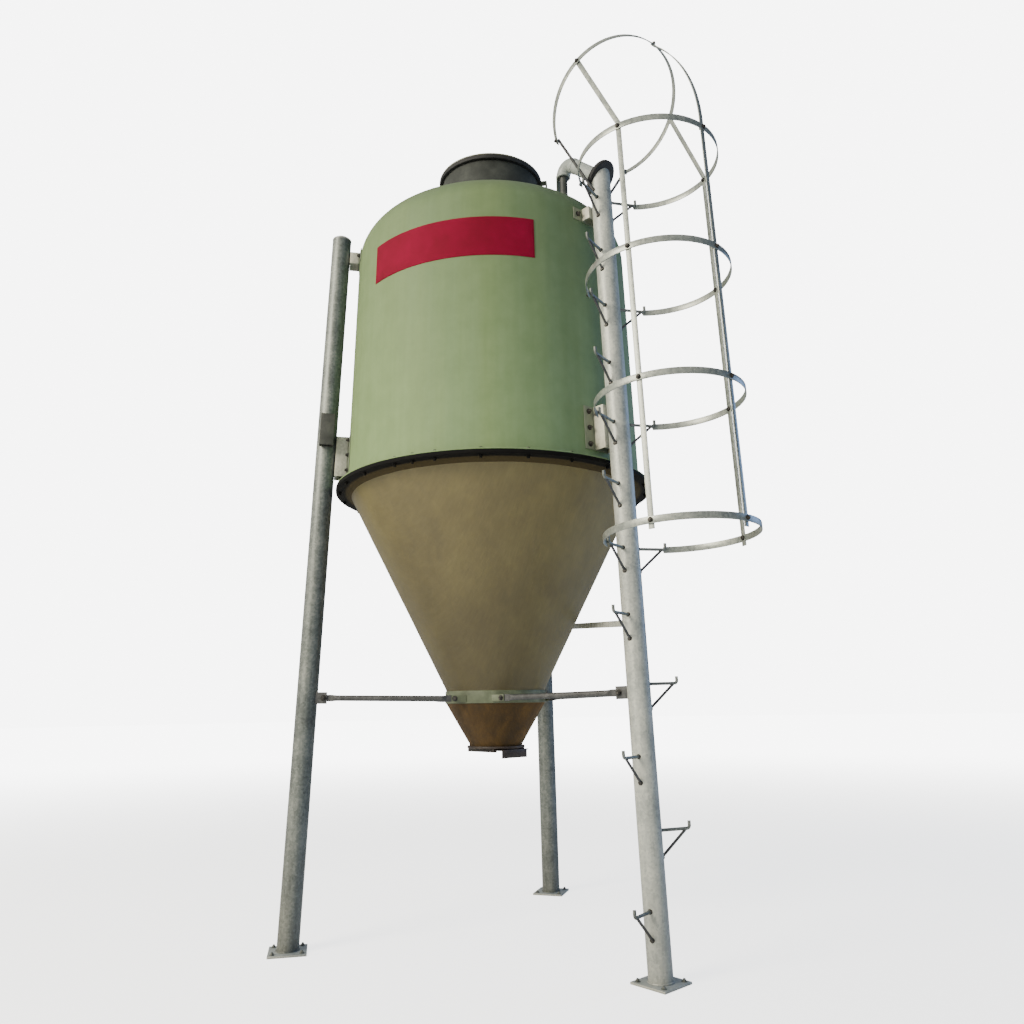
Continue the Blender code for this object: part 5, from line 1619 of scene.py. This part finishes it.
class SILO_OT_ties(bpy.types.Operator):
    """Make the tie bars from the legs to the ring band"""
    bl_idname = "silo.ties"
    bl_label = "Ties"

    def execute(self, context):
        build_ties()
        return {"FINISHED"}


class SILO_OT_legs(bpy.types.Operator):
    """Make the tube legs with their foot plates and caps"""
    bl_idname = "silo.legs"
    bl_label = "Legs"

    def execute(self, context):
        build_legs()
        return {"FINISHED"}


class SILO_OT_steps(bpy.types.Operator):
    """Make the bent rod steps on the climbing pole"""
    bl_idname = "silo.steps"
    bl_label = "Steps"

    def execute(self, context):
        build_steps(context.scene.silo_steel)
        return {"FINISHED"}


class SILO_OT_cage(bpy.types.Operator):
    """Make the safety cage of hoops, straps and bolts"""
    bl_idname = "silo.cage"
    bl_label = "Cage"

    def execute(self, context):
        build_cage()
        return {"FINISHED"}


class SILO_OT_brackets(bpy.types.Operator):
    """Make the brackets between legs and shell, and the pocket"""
    bl_idname = "silo.brackets"
    bl_label = "Brackets"

    def execute(self, context):
        build_brackets()
        return {"FINISHED"}


class SILO_OT_vent(bpy.types.Operator):
    """Make the vent pipe, its rubber sleeve and its strip"""
    bl_idname = "silo.vent"
    bl_label = "Vent"

    def execute(self, context):
        build_vent()
        return {"FINISHED"}


class SILO_OT_panel(bpy.types.Operator):
    """Make the plain red panel on the wall"""
    bl_idname = "silo.panel"
    bl_label = "Panel"

    def execute(self, context):
        build_panel()
        return {"FINISHED"}


class SILO_OT_flange_bolts(bpy.types.Operator):
    """Make the bolts and nuts round the joint flange"""
    bl_idname = "silo.flange_bolts"
    bl_label = "Flange bolts"

    def execute(self, context):
        build_flange_bolts(context.scene.silo_shell)
        return {"FINISHED"}


class SILO_OT_stage(bpy.types.Operator):
    """Make the floor, the soft light and the camera"""
    bl_idname = "silo.stage"
    bl_label = "Stage"

    def execute(self, context):
        build_stage(context.scene.silo_stage)
        return {"FINISHED"}


OPERATORS = (
    SILO_OT_bell, SILO_OT_cone, SILO_OT_outlet, SILO_OT_hatch, SILO_OT_ring, SILO_OT_ties, SILO_OT_legs,
    SILO_OT_steps, SILO_OT_cage, SILO_OT_brackets, SILO_OT_vent, SILO_OT_panel, SILO_OT_flange_bolts,
    SILO_OT_stage,
)
GROUPS = {"silo_shell": SiloShellSettings, "silo_steel": SiloSteelSettings, "silo_stage": SiloStageSettings}


class SILO_PT_pieces(bpy.types.Panel):
    """Settings of the silo and a button for each group of pieces"""
    bl_label = "Silo"
    bl_idname = "SILO_PT_pieces"
    bl_space_type = "VIEW_3D"
    bl_region_type = "UI"
    bl_category = "Silo"

    def draw(self, context):
        for name, group in GROUPS.items():
            fields = self.layout.box()
            for field in group.__annotations__:
                fields.prop(getattr(context.scene, name), field)
        for operator in OPERATORS:
            self.layout.operator(operator.bl_idname)


def register():
    for item in (*GROUPS.values(), *OPERATORS, SILO_PT_pieces):
        bpy.utils.register_class(item)
    for name, group in GROUPS.items():
        setattr(bpy.types.Scene, name, PointerProperty(type=group))


def unregister():
    for name in GROUPS:
        delattr(bpy.types.Scene, name)
    for item in (SILO_PT_pieces, *OPERATORS, *GROUPS.values()):
        bpy.utils.unregister_class(item)


def main():
    register()
    for operator in OPERATORS:
        getattr(bpy.ops.silo, operator.bl_idname.split(".")[1])()


if __name__ == "__main__":
    main()
